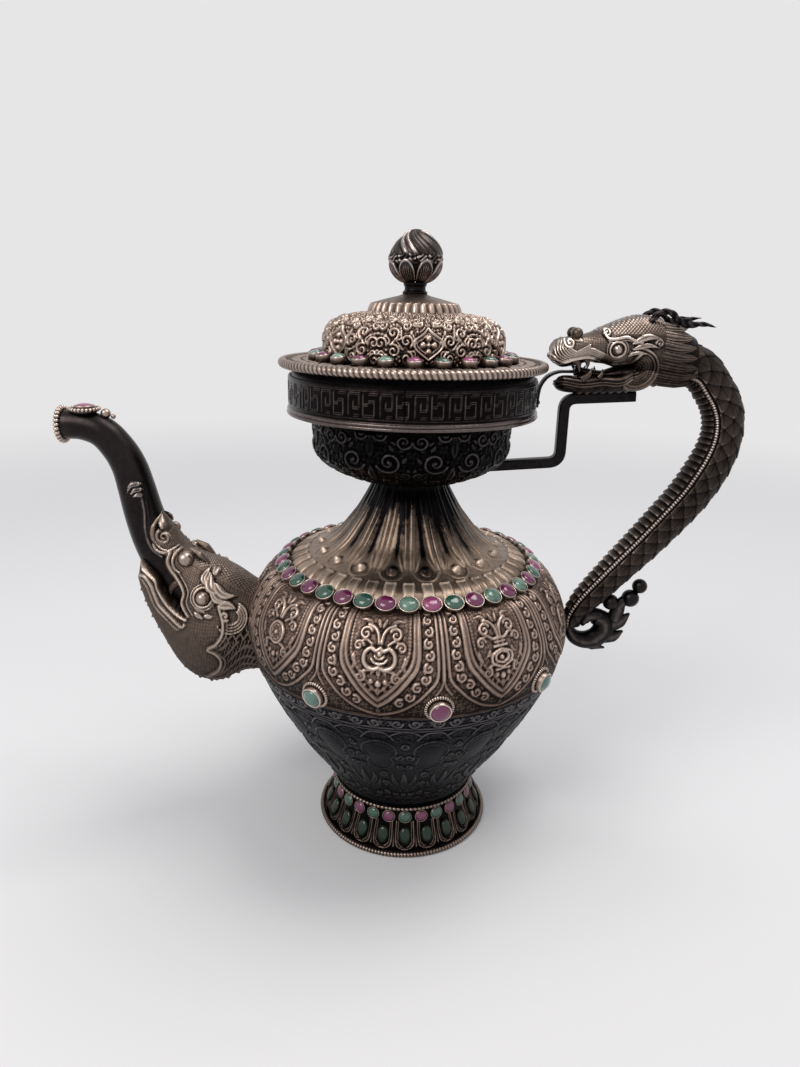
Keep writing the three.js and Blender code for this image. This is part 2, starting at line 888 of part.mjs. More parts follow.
// A leaf ear behind the eye, in shares of reach and rise
const earShares = [
  [-0.184, 0.183],
  [-0.159, 0.239],
  [-0.106, 0.225],
  [-0.048, 0.215],
  [-0.006, 0.108],
  [-0.032, 0.053],
  [-0.096, 0.039],
  [-0.153, 0.063],
  [-0.122, 0.107],
  [-0.15, 0.146],
];
const crestShares = [
  [-0.539, 0.42],
  [-0.544, 0.488],
  [-0.517, 0.537],
  [-0.5, 0.591],
  [-0.472, 0.6],
  [-0.444, 0.552],
  [-0.406, 0.483],
  [-0.356, 0.425],
  [-0.378, 0.396],
  [-0.456, 0.39],
  [-0.511, 0.39],
];

function makeMakaraEar(side) {
  const outer = makaraWidth / 2;
  const low = side < 0 ? -outer : outer / 2;
  return plate(earShares, spoutPoint, low, outer / 2)
    .subtract(makaraSkin(seatGap))
    .subtract(bellyBlock(seatGap));
}

// A curled crest on the trunk's root, over its inner side
function makeMakaraCrest() {
  return plate(crestShares, spoutPoint, -crestWidth / 2, crestWidth)
    .subtract(makaraSkin(seatGap))
    .subtract(nostrilBalls(seatGap))
    .subtract(spoutSkin(seatGap, cutOverrun));
}

// The dragon's head: shares of its length from the snout, of its height, and half sizes as shares
const snoutTip = lidRadius + snoutClearance;
const headBottom = flangeBottom - 0.29 * headHeight;
const skullShares = [
  [0, 0.475, 0.074, 0.15],
  [0.05, 0.508, 0.189, 0.28],
  [0.13, 0.503, 0.224, 0.33],
  [0.325, 0.572, 0.22, 0.34],
  [0.457, 0.628, 0.26, 0.37],
  [0.58, 0.648, 0.329, 0.42],
  [0.71, 0.684, 0.365, 0.45],
  [0.824, 0.558, 0.518, 0.49],
  [1, 0.516, 0.51, 0.48],
];

function headPoint(along, up, y = 0) {
  return new THREE.Vector3(snoutTip + along * headLength, y, headBottom + up * headHeight);
}

function skullSkin(grow) {
  const rings = skullShares.map(([along, up, high, wide]) => {
    const at = headPoint(along, up);
    return oval({
      x: at.x,
      z: at.z,
      lean: 0,
      high: high * headHeight + grow,
      wide: wide * headWidth + grow,
      sides: 14,
    });
  });
  return solid(loft(rings));
}

const jawShares = [
  [0.084, 0.05, 0.2, 0.3],
  [0.151, 0.026, 0.4, 0.54],
  [0.416, 0.046, 0.5, 0.78],
  [0.64, 0.089, 0.5, 0.9],
  [0.8, 0.1, 0.5, 1],
];

function jawSkin(grow) {
  const rings = jawShares.map(([along, up, high, wide]) => {
    const at = headPoint(along, up);
    const size = { high: high * jawHeight + grow, wide: (wide * jawWidth) / 2 + grow };
    return oval({ x: at.x, z: at.z, lean: 0, ...size, sides: 12 });
  });
  return solid(loft(rings));
}

function makeDragonSkull() {
  return skullSkin(0);
}

function makeDragonJaw() {
  return jawSkin(0).subtract(skullSkin(seatGap));
}

// A ball half sunk into the skull
const eyeShares = [0.6, 0.59];
const noseShares = [0.215, 0.755];

function makeBead(place, radius) {
  const ball = new THREE.SphereGeometry(radius, beadSides, beadRings).translate(place.x, place.y, place.z);
  return solid(ball).subtract(skullSkin(seatGap));
}

// An antler: a stem that arches back from the brow and ends in a tip, with one tine
const antlerShares = [
  [0.93, 0.79],
  [0.91, 0.91],
  [0.935, 1.06],
  [0.98, 1.12],
  [1.05, 1.138],
  [1.11, 1.112],
  [1.157, 1.033],
  [1.233, 0.984],
  [1.327, 0.967],
  [1.416, 0.993],
  [1.516, 0.93],
];
const antlerSizeShares = [1, 1, 1, 1, 1, 0.95, 0.9, 0.85, 0.8, 0.65, 0.3];
const tineShares = [
  [1.157, 1.033],
  [1.243, 1.036],
  [1.343, 1.056],
];

function makeAntler(side) {
  const y = side * antlerSpread;
  const sizes = antlerSizeShares.map((share) => share * antlerRadius);
  const stem = limb(antlerShares.map(([a, b]) => headPoint(a, b, y)), sizes, sizes, 14, { sides: 6 });
  const tineSizes = [0.8, 0.7, 0.3].map((share) => share * antlerRadius);
  const tine = limb(tineShares.map(([a, b]) => headPoint(a, b, y)), tineSizes, tineSizes, 4, { sides: 6 });
  return solid(stem).add(solid(tine)).subtract(skullSkin(seatGap)).subtract(maneSkin(seatGap));
}

// The mane: locks swept back from the skull round the start of the grip
const maneShares = [
  [0, 0.51, 0.5, 0.48],
  [0.3, 0.5, 0.5, 0.5],
  [0.65, 0.46, 0.46, 0.47],
  [1, 0.43, 0.41, 0.42],
];

function maneSkin(grow) {
  const rings = maneShares.map(([along, up, high, wide]) => {
    const at = headPoint(1, up);
    at.x += seatGap + along * maneLength - grow * (along === 0 ? 1 : 0);
    return oval({
      x: at.x,
      z: at.z,
      lean: 0.12 * along,
      high: high * headHeight + grow,
      wide: wide * headWidth + grow,
      sides: 20,
    });
  });
  return solid(loft(rings.map((points, row) => lockRing(points, row))));
}

// Every second point of a ring pulled back a little, so that locks of hair stand apart
function lockRing(points, row) {
  const middle = points.reduce((sum, p) => sum.add(p), new THREE.Vector3()).divideScalar(points.length);
  const depth = 0.03 + 0.03 * row;
  return points.map((p, i) => (i % 2 ? p.clone().lerp(middle, depth) : p));
}

function makeMane() {
  return maneSkin(0).subtract(gripSkin(seatGap, false));
}

// The grip's middle line: how far it bows out from a straight line between head and belly, in shares of its
// reach, and how far down it is, in shares of the drop from the head to the lug
const gripShares = [
  [0.102, 0.017],
  [0.24, 0.026],
  [0.347, 0.048],
  [0.441, 0.093],
  [0.541, 0.147],
  [0.611, 0.206],
  [0.647, 0.273],
  [0.647, 0.339],
  [0.618, 0.41],
  [0.563, 0.489],
  [0.476, 0.572],
  [0.365, 0.668],
  [0.248, 0.762],
  [0.139, 0.851],
  [0.07, 0.912],
  [0.028, 0.966],
  [0.034, 1.007],
];
const gripHighShares = [
  0.88, 0.93, 0.88, 0.87, 0.89, 0.9, 0.91, 0.95, 0.975, 0.96, 0.93, 0.88, 0.8, 0.72, 0.63, 0.47, 0.4,
];
const gripTop = headBottom + 0.46 * headHeight;
const gripStart = snoutTip + headLength;
const lugShare = 0.74;
const lugHeight = bodyBottom + lugShare * bodyHeight;

function gripPoint([out, down], y = 0) {
  const straight = THREE.MathUtils.lerp(gripStart, bellyRadius + lugLength, down);
  return new THREE.Vector3(straight + out * gripReach, y, THREE.MathUtils.lerp(gripTop, lugHeight, down));
}

function gripCurve() {
  return new THREE.CatmullRomCurve3(gripShares.map((share) => gripPoint(share)));
}

// The grip's skin; with plates, its belly steps in and out once for each plate
function gripSkin(grow, plates) {
  const curve = gripCurve();
  const steps = 2 * plateCount;
  const rings = [];
  for (let i = 0; i <= steps; i += 1) {
    const t = i / steps;
    const at = curve.getPoint(t);
    const along = curve.getTangent(t);
    const share = between(gripHighShares, t);
    const step = plates && i % 2 ? (plateStep / gripHigh) : 0;
    rings.push(oval({
      x: at.x,
      z: at.z,
      lean: Math.atan2(-along.z, along.x),
      high: share * gripHigh + grow,
      wide: share * gripWide + grow,
      sides: gripSides,
      belly: 1 - step,
    }));
  }
  return solid(loft(rings));
}

function makeGrip() {
  return gripSkin(0, true);
}

// A milled bead line laid along one side of the grip
function makeBeadLine(side) {
  const curve = gripCurve();
  const points = [];
  const first = 3;
  const steps = 17;
  for (let i = first; i < steps; i += 1) {
    const t = i / steps;
    const at = curve.getPoint(t);
    const wide = between(gripHighShares, t) * gripWide;
    at.y = side * (wide + beadLineRadius + seatGap);
    points.push(at);
  }
  const size = [beadLineRadius, beadLineRadius];
  return solid(limb(points, size, size, steps, { sides: 4 }));
}

// The tail finial's flat casting: a C-scroll with a serrated leaf, in shares of its height
const finialShares = [
  [0.046, 0.410],
  [0.064, 0.241],
  [0.133, 0.151],
  [0.241, 0.069],
  [0.356, 0.015],
  [0.505, 0.003],
  [0.595, 0.038],
  [0.574, 0.110],
  [0.679, 0.126],
  [0.769, 0.187],
  [0.826, 0.259],
  [0.787, 0.313],
  [0.869, 0.392],
  [0.897, 0.510],
  [0.810, 0.554],
  [0.803, 0.654],
  [0.872, 0.769],
  [0.962, 0.910],
  [0.897, 0.923],
  [0.756, 0.821],
  [0.628, 0.718],
  [0.538, 0.613],
  [0.359, 0.623],
  [0.264, 0.574],
  [0.200, 0.495],
  [0.221, 0.403],
  [0.287, 0.349],
  [0.382, 0.377],
  [0.397, 0.341],
  [0.369, 0.282],
  [0.295, 0.267],
  [0.231, 0.285],
  [0.177, 0.362],
  [0.156, 0.462],
];
const finialBallShares = [
  [0.603, 0.708, 0.105],
  [0.869, 0.759, 0.118],
  [0.979, 0.946, 0.095],
];

function finialPoint([across, up]) {
  const end = gripPoint(gripShares[gripShares.length - 1]);
  const left = end.x - between(gripHighShares, 1) * gripHigh;
  return new THREE.Vector3(left + across * finialHeight, 0, end.z - (0.385 - up) * finialHeight);
}

function makeTailFinial() {
  let finial = plate(finialShares, finialPoint, -finialThickness / 2, finialThickness);
  for (const [across, up, size] of finialBallShares) {
    const at = finialPoint([across, up]);
    const ball = new THREE.SphereGeometry(size * finialHeight, beadSides, beadRings).translate(...at);
    finial = finial.add(solid(ball));
  }
  return finial.subtract(gripSkin(seatGap, false)).subtract(lugBlock());
}

// The lug between the belly and the grip's lower end
function makeHandleLug() {
  return lugBody(0).subtract(bellyBlock(seatGap)).subtract(gripSkin(seatGap, false));
}

function lugBody(grow) {
  const middle = bellyRadius + lugLength / 2;
  const radius = lugRadius + grow;
  const lug = new THREE.CylinderGeometry(radius, radius, 2 * lugLength, 12);
  return solid(lug.rotateZ(quarterTurn).translate(middle, 0, lugHeight));
}

function lugBlock() {
  return lugBody(seatGap);
}

// The tongue: a strap from the dragon's mouth down the collar's side
const strapShares = [
  [0, 0],
  [0, 0.55],
  [0.06, 0.78],
  [0.23, 0.94],
  [0.5, 1],
  [1, 1],
];

const strapSteps = 12;

function makeTongueStrap() {
  const side = collarRadius + seatGap + strapThickness / 2;
  const mouthEnd = headPoint(0.27, 0.21);
  const foot = collarBottom + collarMouldingHeight + collarMouldingRise + seatGap;
  const run = mouthEnd.x - side;
  const rise = mouthEnd.z - foot;
  const points = strapShares.map(([out, up]) => new THREE.Vector3(side + out * run, 0, foot + up * rise));
  const square = { sides: 4, power: 0.01 };
  const thick = [strapThickness / 2, strapThickness / 2];
  const wide = [strapWidth / 2, strapWidth / 2];
  const strap = solid(limb(points, thick, wide, strapSteps, square));
  return strap.subtract(skullSkin(seatGap)).subtract(jawSkin(seatGap));
}

// The Z bracket: a bar out from the cup, a leg up, and a bar back under the jaw
function makeBracket() {
  const legX = collarRadius + bracketStand;
  const jawEnd = headPoint(0.84, 0.02);
  const topZ = headPoint(0, 0.046).z - jawHeight / 2 - seatGap - bracketBar / 2;
  const lowZ = cupBottom + 0.29 * cupHeight;
  const route = [
    new THREE.Vector3(0.7 * cupRadius, 0, lowZ - 0.1 * cupHeight),
    new THREE.Vector3(legX, 0, lowZ),
    new THREE.Vector3(legX, 0, topZ - bracketBar / 4),
    jawEnd.setZ(topZ + bracketBar / 4),
  ];
  const path = new THREE.CurvePath();
  let from = route[0];
  for (let i = 1; i < route.length - 1; i += 1) {
    const [before, corner, after] = [route[i - 1], route[i], route[i + 1]];
    const start = corner.clone().add(before.clone().sub(corner).setLength(2 * bracketCorner));
    const end = corner.clone().add(after.clone().sub(corner).setLength(2 * bracketCorner));
    path.add(new THREE.LineCurve3(from, start));
    path.add(new THREE.QuadraticBezierCurve3(start, corner, end));
    from = end;
  }
  path.add(new THREE.LineCurve3(from, route[3]));
  const rings = [];
  const steps = 26;
  for (let i = 0; i <= steps; i += 1) {
    const t = i / steps;
    const at = path.getPoint(t);
    const along = path.getTangent(t);
    const lean = Math.atan2(-along.z, along.x);
    rings.push(oval({
      x: at.x, z: at.z, lean, high: bracketBar / 2, wide: bracketWidth / 2, sides: 8, power: 0.5,
    }));
  }
  const cup = solid(lathe([[0, cupBottom], ...offset(cupOutline(), -seatGap), [0, cupTop]]));
  return solid(loft(rings)).subtract(cup).subtract(jawSkin(seatGap));
}

// Finishes: tarnished silver in three depths, and the two stones
const finishes = {
  silver: { color: 0x9a8b80, roughness: 0.42, metalness: 0.9 },
  darkSilver: { color: 0x4b4440, roughness: 0.38, metalness: 0.9 },
  wire: { color: 0xb0a69c, roughness: 0.35, metalness: 0.95 },
  ruby: { color: 0x8c2f5d, roughness: 0.2, metalness: 0 },
  emerald: { color: 0x3f7f68, roughness: 0.25, metalness: 0 },
};

const ewer = new THREE.Group();

function addPart(name, body, finish) {
  const mesh = new THREE.Mesh(geometryOf(body), new THREE.MeshStandardMaterial(finishes[finish]));
  mesh.name = name;
  ewer.add(mesh);
  return mesh;
}

const footWireSeat = footRadius + seatGap + footWireRadius;
addPart("foot_shell", makeFootShell(), "silver");
const rimWireSides = 5;
const rimWire = wireRing(footWireSeat, footWireRadius, footWireRadius, rimWireSides, footSides);
addPart("foot_rim_wire", solid(rimWire), "wire");
const jointSeat = footTopRadius + 2 * jointWireRadius;
const jointWireSides = 4;
const jointWire = wireRing(jointSeat, footHeight, jointWireRadius, jointWireSides, footSides);
addPart("foot_joint_wire", solid(jointWire), "wire");
addPart("foot_stone_row", makeFootStoneRow(), "silver");
addPart("body_lower", makeBodyLower(), "silver");
addPart("body_upper", makeBodyUpper(), "silver");
addPart("neck_shoulder", makeNeck(), "darkSilver");
addPart("shoulder_stone_row", makeShoulderStoneRow(), "silver");
addPart("cup_bowl", makeCup(), "darkSilver");
addPart("collar_band", makeCollar(), "darkSilver");

const bossBlock = bellyBlock(seatGap);
bossAngles.forEach((degrees, i) => {
  const turn = THREE.MathUtils.degToRad(degrees);
  const stoneFinish = i % 3 === 1 ? "ruby" : "emerald";
  addPart(`boss_bezel_${i + 1}`, makeBossBezel(bossBlock), "wire").rotation.z = turn;
  addPart(`boss_stone_${i + 1}`, makeBossStone(), stoneFinish).rotation.z = turn;
});

addPart("lid_flange", makeLidFlange(), "silver");
const lidWireSeat = lidRadius - lidWireRadius;
const lidWireSides = 5;
const lidWire = wireRing(lidWireSeat, flangeBottom, lidWireRadius, lidWireSides, lidSides);
addPart("lid_rim_wire", solid(lidWire), "wire");
addPart("lid_plug", makeLidPlug(), "darkSilver");
addPart("lid_stone_row", makeLidStoneRow(), "silver");
addPart("lid_dome", makeLidDome(), "silver");
addPart("lid_cap", makeLidCap(), "silver");
addPart("finial_stem", makeFinialStem(), "darkSilver");
addPart("finial_bud", makeFinialBud(), "darkSilver");

addPart("spout_tube", makeSpoutTube(), "darkSilver");
addPart("spout_mouth_ring", makeMouthRing(), "wire");
addPart("spout_disc", makeSpoutDisc(), "wire");
addPart("spout_stone", makeSpoutStone(), "ruby");
addPart("spout_ball", makeSpoutBall(), "wire");
addPart("makara_head", makeMakaraHead(), "silver");
addPart("makara_crest", makeMakaraCrest(), "silver");
for (const [name, side] of [["near", -1], ["far", 1]]) {
  addPart(`makara_eye_${name}`, makeMakaraEye(side), "wire");
  addPart(`makara_ear_${name}`, makeMakaraEar(side), "silver");
  const eye = headPoint(...eyeShares, side * 0.42 * headWidth);
  addPart(`dragon_eye_${name}`, makeBead(eye, dragonEyeRadius), "wire");
  const nose = headPoint(...noseShares, side * noseBeadSpread);
  addPart(`dragon_nose_bead_${name}`, makeBead(nose, noseBeadRadius), "wire");
  addPart(`dragon_antler_${name}`, makeAntler(side), "darkSilver");
  addPart(`grip_bead_line_${name}`, makeBeadLine(side), "wire");
}
addPart("dragon_skull", makeDragonSkull(), "silver");
addPart("dragon_jaw", makeDragonJaw(), "silver");
addPart("dragon_mane", makeMane(), "silver");
addPart("grip_body", makeGrip(), "darkSilver");
addPart("tail_finial", makeTailFinial(), "darkSilver");
addPart("handle_lug", makeHandleLug(), "silver");
addPart("tongue_strap", makeTongueStrap(), "darkSilver");
addPart("z_bracket", makeBracket(), "darkSilver");

// The vessel's axis stands beside the origin, which is under the middle of the whole length
const span = new THREE.Box3().setFromObject(ewer);
ewer.position.x = -(span.min.x + span.max.x) / 2;

export default ewer;
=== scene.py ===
import bpy
import numpy as np
from mathutils import Matrix, Vector


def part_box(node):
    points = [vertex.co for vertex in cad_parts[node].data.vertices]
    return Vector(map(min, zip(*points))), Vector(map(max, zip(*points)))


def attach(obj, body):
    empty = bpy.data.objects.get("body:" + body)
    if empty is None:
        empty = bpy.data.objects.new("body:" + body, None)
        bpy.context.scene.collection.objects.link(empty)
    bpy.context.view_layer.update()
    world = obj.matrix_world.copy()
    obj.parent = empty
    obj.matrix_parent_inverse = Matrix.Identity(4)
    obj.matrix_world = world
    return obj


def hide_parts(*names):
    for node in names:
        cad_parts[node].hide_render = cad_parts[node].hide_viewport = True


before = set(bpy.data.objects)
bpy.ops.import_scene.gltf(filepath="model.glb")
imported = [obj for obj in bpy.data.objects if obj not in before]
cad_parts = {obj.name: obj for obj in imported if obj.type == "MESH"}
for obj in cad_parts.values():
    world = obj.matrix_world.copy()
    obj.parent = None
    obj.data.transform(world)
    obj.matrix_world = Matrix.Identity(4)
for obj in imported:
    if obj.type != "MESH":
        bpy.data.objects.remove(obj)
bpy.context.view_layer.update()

# Where the ewer stands: on a plain pale floor that fades into an equally pale room, under two wide
# soft lamps, seen from a little above the lid as in the photograph.
MM = 0.001
rim_low, rim_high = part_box("foot_rim_wire")
axis = (rim_low.x + rim_high.x) / 2 / MM    # the vessel's own centre line, in millimetres
room_grey = (0.80, 0.79, 0.80, 1)

def wired(name):
    """An empty node material: returns the material, a call that adds a node, and a call that joins two
    sockets."""
    material = bpy.data.materials.new(name)
    material.use_nodes = True
    tree = material.node_tree
    tree.nodes.clear()
    def node(kind, **settings):
        made = tree.nodes.new("ShaderNode" + kind)
        for key, value in settings.items():
            if key in made.inputs:
                made.inputs[key].default_value = value
            else:
                setattr(made, key, value)
        return made
    return material, node, tree.links.new

def floor_finish(near=0.42, far_off=1.5):
    """Matt pale paint near the ewer; from `near` to `far_off` metres the floor turns into the room's own
    brightness."""
    material, node, join = wired("pale_floor")
    place = node("TexCoord")
    far = node("VectorMath", operation="LENGTH")
    join(place.outputs["Object"], far.inputs[0])
    fade = node("MapRange", interpolation_type="SMOOTHSTEP")
    fade.inputs["From Min"].default_value = near
    fade.inputs["From Max"].default_value = far_off
    join(far.outputs["Value"], fade.inputs["Value"])
    grain = node("TexNoise", Scale=260.0, Detail=3.0)
    join(place.outputs["Object"], grain.inputs["Vector"])
    lift = node("Bump", Strength=0.05, Distance=0.0004)
    join(grain.outputs["Fac"], lift.inputs["Height"])
    paint = node("BsdfDiffuse", Color=(0.72, 0.715, 0.72, 1))
    join(lift.outputs["Normal"], paint.inputs["Normal"])
    glow = node("Emission", Color=room_grey, Strength=1.0)
    mixed, out = node("MixShader"), node("OutputMaterial")
    join(fade.outputs["Result"], mixed.inputs["Fac"])
    join(paint.outputs[0], mixed.inputs[1])
    join(glow.outputs[0], mixed.inputs[2])
    join(mixed.outputs[0], out.inputs["Surface"])
    return material

turn = np.linspace(0, 2 * np.pi, 96, endpoint=False)
floor_mesh = bpy.data.meshes.new("floor")
floor_reach = 6    # metres
floor_edge = floor_reach * np.stack([np.cos(turn), np.sin(turn), 0 * turn], 1)
floor_mesh.from_pydata(floor_edge.tolist(), [], [list(range(96))])
floor_mesh.materials.append(floor_finish())
floor = bpy.data.objects.new("floor", floor_mesh)
bpy.context.scene.collection.objects.link(floor)

world = bpy.data.worlds.new("room")
world.use_nodes = True
world.node_tree.nodes.clear()
add, join = world.node_tree.nodes.new, world.node_tree.links.new
seen, fill, shown, mix, out = [add("ShaderNode" + kind) for kind in
                               ("LightPath", "Background", "Background", "MixShader", "OutputWorld")]
for light, tint, strength in ((fill, (0.93, 0.95, 1, 1), 0.55), (shown, room_grey, 1.0)):
    light.inputs["Color"].default_value = tint
    light.inputs["Strength"].default_value = strength
# The room is seen as pale grey by the camera, in gloss and through glass; its fill light is dimmer and
# cooler.
most = add("ShaderNodeMath"), add("ShaderNodeMath")
for step, (one, other) in zip(most, (("Is Camera Ray", "Is Glossy Ray"), (None, "Is Transmission Ray"))):
    step.operation = "MAXIMUM"
    join(seen.outputs[one] if one else most[0].outputs[0], step.inputs[0])
    join(seen.outputs[other], step.inputs[1])
join(most[1].outputs[0], mix.inputs["Fac"])
join(fill.outputs[0], mix.inputs[1])
join(shown.outputs[0], mix.inputs[2])
join(mix.outputs[0], out.inputs["Surface"])
bpy.context.scene.world = world

def lamp(name, place, size, power, tint):
    """A square soft lamp that looks at the ewer's middle."""
    light = bpy.data.lights.new(name, "AREA")
    light.size, light.energy, light.color = size, power, tint
    body = bpy.data.objects.new(name, light)
    body.location = place
    body.rotation_euler = (Vector((0, 0, 0.15)) - Vector(place)).to_track_quat("-Z", "Y").to_euler()
    bpy.context.scene.collection.objects.link(body)

lamp("window", (-0.75, -0.85, 1.15), 0.8, 11, (1, 0.97, 0.94))
lamp("ceiling", (0.35, 0.1, 1.35), 0.7, 9, (1, 0.98, 0.96))

# The photograph's pinhole: its height, distance, downward tilt and slight roll.
tilt, roll = np.radians(17.48), np.radians(-1.25)
ahead = Vector((0, np.cos(tilt), -np.sin(tilt)))
upward = Vector((1, 0, 0)).cross(ahead)
across = np.cos(roll) * Vector((1, 0, 0)) - np.sin(roll) * upward
eye = bpy.data.cameras.new("photo_view")
picture_tall, focal_length = 1067, 740    # pixels
film = 36    # millimetres, the longer side
eye.sensor_width, eye.lens, eye.clip_start = film, focal_length * film / picture_tall, 0.01
camera = bpy.data.objects.new("photo_view", eye)
camera.matrix_world = Matrix.Translation(((axis - 4.42) * MM, -0.3532, 0.2693)) @ Matrix(
    (across, -ahead.cross(across), -ahead)).transposed().to_4x4()
bpy.context.scene.collection.objects.link(camera)
bpy.context.scene.camera = camera
bpy.context.scene.view_settings.view_transform = "Standard"

# Foot: a flared ring raised from sheet, chased with upright petals, each with a green oval stone. A row of
# small ruby and emerald stones runs above them, a reeded wire borders the rim and a beaded one the joint.
def through(points, step, bend=True):
    """A line through the points, sampled about every `step`: a Catmull-Rom curve, or straight runs."""
    p = np.asarray(points, float)
    q = np.vstack([2 * p[0] - p[1], p, 2 * p[-1] - p[-2]])
    many = np.maximum(1, np.ceil(np.linalg.norm(np.diff(p, axis=0), axis=1) / step)).astype(int)
    k = np.repeat(np.arange(len(many)), many)
    t = ((np.arange(many.sum()) - np.repeat(np.cumsum(many) - many, many)) / many[k])[:, None]
    a, b, c, d = q[k], q[k + 1], q[k + 2], q[k + 3]
    if not bend:
        return np.vstack([b + (c - b) * t, p[-1:]])
    line = b + t * (c - a) / 2 + t**2 * (2 * a - 5 * b + 4 * c - d) / 2 + t**3 * (3 * b - a - 3 * c + d) / 2
    return np.vstack([line, p[-1:]])

def length_along(line):
    """How far along the line each of its points lies."""
    return np.concatenate([[0], np.cumsum(np.linalg.norm(np.diff(line, axis=0), axis=1))])

def turned(profile, count):
    """The profile of (radius, height) carried round the axis. Rows follow it; columns are angles from the
    front towards +X: a point is (radius * sin, -radius * cos, height)."""
    turn = np.linspace(0, 2 * np.pi, count, endpoint=False)
    radius, height = profile[:, :1], profile[:, 1:]
    return np.stack([radius * np.sin(turn), -radius * np.cos(turn), height + 0 * turn], -1)

def outward(grid, ring=False):
    """The normals of a grid: the cross product of its two directions. Where its rows close on themselves,
    as round a wall's section, the sign makes the enclosed volume positive; otherwise it points away from
    each row's middle."""
    down = np.roll(grid, -1, 0) - np.roll(grid, 1, 0) if ring else np.gradient(grid, axis=0)
    normal = np.cross(np.roll(grid, -1, 1) - np.roll(grid, 1, 1), down)
    here = grid - (grid.mean((0, 1)) if ring else grid.mean(1, keepdims=True))
    if ring:
        beside, below = np.roll(here, -1, 1), np.roll(here, -1, 0)
        across = np.roll(beside, -1, 0)
        sign = np.sign((here * (np.cross(beside, across) + np.cross(across, below))).sum())
    else:
        sign = np.sign((here * normal).sum())
    return sign * normal / np.maximum(np.linalg.norm(normal, axis=-1, keepdims=True), 1e-9)

def toward(angle):
    """A unit step at an angle in radians."""
    return np.array([np.cos(angle), np.sin(angle)])

def lifted(grid, height, ring=False):
    """Each point moves along the surface's own normal by its height."""
    return grid + outward(grid, ring) * height[..., None]

def softened(field, times):
    """The field with each value averaged with its neighbours, again and again."""
    for _ in range(times):
        field = (np.roll(field, 1, 1) + 2 * field + np.roll(field, -1, 1)) / 4
        padded = np.pad(field, ((1, 1), (0, 0)), mode="edge")
        field = (padded[:-2] + 2 * field + padded[2:]) / 4
    return field

def wear_of(height, rise, ground, follow=0.5):
    """How bright the metal is rubbed: the ground's own tone, plus `follow` times the height over the
    rise, plus 0.9 times how far a place stands above the mean of its surroundings."""
    return np.clip(ground + follow * height / rise + 0.9 * (height - softened(height, 8)) / rise, 0, 1)

def piece(name, parts, finish, body, nodes, slot):
    """Joins grids into one mesh. A part is (grid, wear_and_painted_light, capped): its columns close on
    themselves, and its rows do too, or where it is capped each end is closed by a fan round its own middle.
    Faces are wound so that the volume they enclose, the sum of point . (next x next), comes out positive."""
    points, wears_and_painted_light, loops, sizes, base = [], [], [], [], 0
    for grid, wear_and_painted_light, capped in parts:
        rows, cols = grid.shape[:2]
        flat = grid.reshape(-1, 3)
        tone = np.broadcast_to(wear_and_painted_light, (rows, cols)).ravel()
        j, i = np.meshgrid(np.arange(rows - 1 if capped else rows), np.arange(cols), indexing="ij")
        j, i = j.ravel(), i.ravel()
        next_j, next_i = (j + 1) % rows, (i + 1) % cols
        quads = np.stack([j * cols + i, j * cols + next_i, next_j * cols + next_i, next_j * cols + i], 1)
        side = np.arange(cols)
        fans = np.zeros((0, 3), int)
        if capped:
            flat = np.vstack([flat, grid[0].mean(0), grid[-1].mean(0)])
            tone = np.append(tone, [tone[0], tone[-1]])
            low, high = rows * cols, rows * cols + 1
            last = (rows - 1) * cols
            fans = np.vstack([np.stack([(side + 1) % cols, side, 0 * side + low], 1),
                              np.stack([last + side, last + (side + 1) % cols, 0 * side + high], 1)])
        four, three = flat[quads] - flat.mean(0), flat[fans] - flat.mean(0)
        volume = (four[:, 0] * (np.cross(four[:, 1], four[:, 2]) + np.cross(four[:, 2], four[:, 3]))).sum()
        if volume + (three[:, 0] * np.cross(three[:, 1], three[:, 2])).sum() < 0:
            quads, fans = quads[:, ::-1], fans[:, ::-1]
        points.append(flat)
        wears_and_painted_light.append(tone)
        loops += [quads.ravel() + base, fans.ravel() + base]
        sizes += [np.full(len(quads), 4), np.full(len(fans), 3)]
        base += len(flat)
    points, loops, sizes = np.concatenate(points), np.concatenate(loops), np.concatenate(sizes)
    points = (points + (axis, 0, 0)) * MM
    mesh = bpy.data.meshes.new(name)
    mesh.vertices.add(len(points))
    mesh.vertices.foreach_set("co", points.astype(np.float32).ravel())
    mesh.loops.add(len(loops))
    mesh.loops.foreach_set("vertex_index", loops.astype(np.int32))
    mesh.polygons.add(len(sizes))
    mesh.polygons.foreach_set("loop_start", (np.cumsum(sizes) - sizes).astype(np.int32))
    wear_and_painted_light_layer = mesh.attributes.new("wear_and_painted_light", "FLOAT", "POINT")
    wear_and_painted_light_layer.data.foreach_set("value", np.concatenate(wears_and_painted_light).astype(np.float32))
    mesh.update(calc_edges=True)
    mesh.shade_smooth()
    mesh.materials.append(finish)
    made = bpy.data.objects.new(name, mesh)
    bpy.context.scene.collection.objects.link(made)
    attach(made, body)
    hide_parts(*nodes)

# Finishes: silver whose patina follows the worked relief, in several tones, and cloudy polished stones.
# The value that each piece carries at its points, its wear and in some pieces painted light and shade,
# decides where the silver is black and where it is bright.
def ramp_of(node, *ends):
    """A colour ramp between two (position, colour) ends."""
    ramp = node("ValToRGB")
    for element, (position, colour) in zip(ramp.color_ramp.elements, ends):
        element.color = (*colour, 1)
        element.position = position
    return ramp

def spread_over(node, least, most):
    """A node that maps 0 to 1 on to `least` to `most`."""
    made = node("MapRange")
    made.inputs["To Min"].default_value = least
    made.inputs["To Max"].default_value = most
    return made

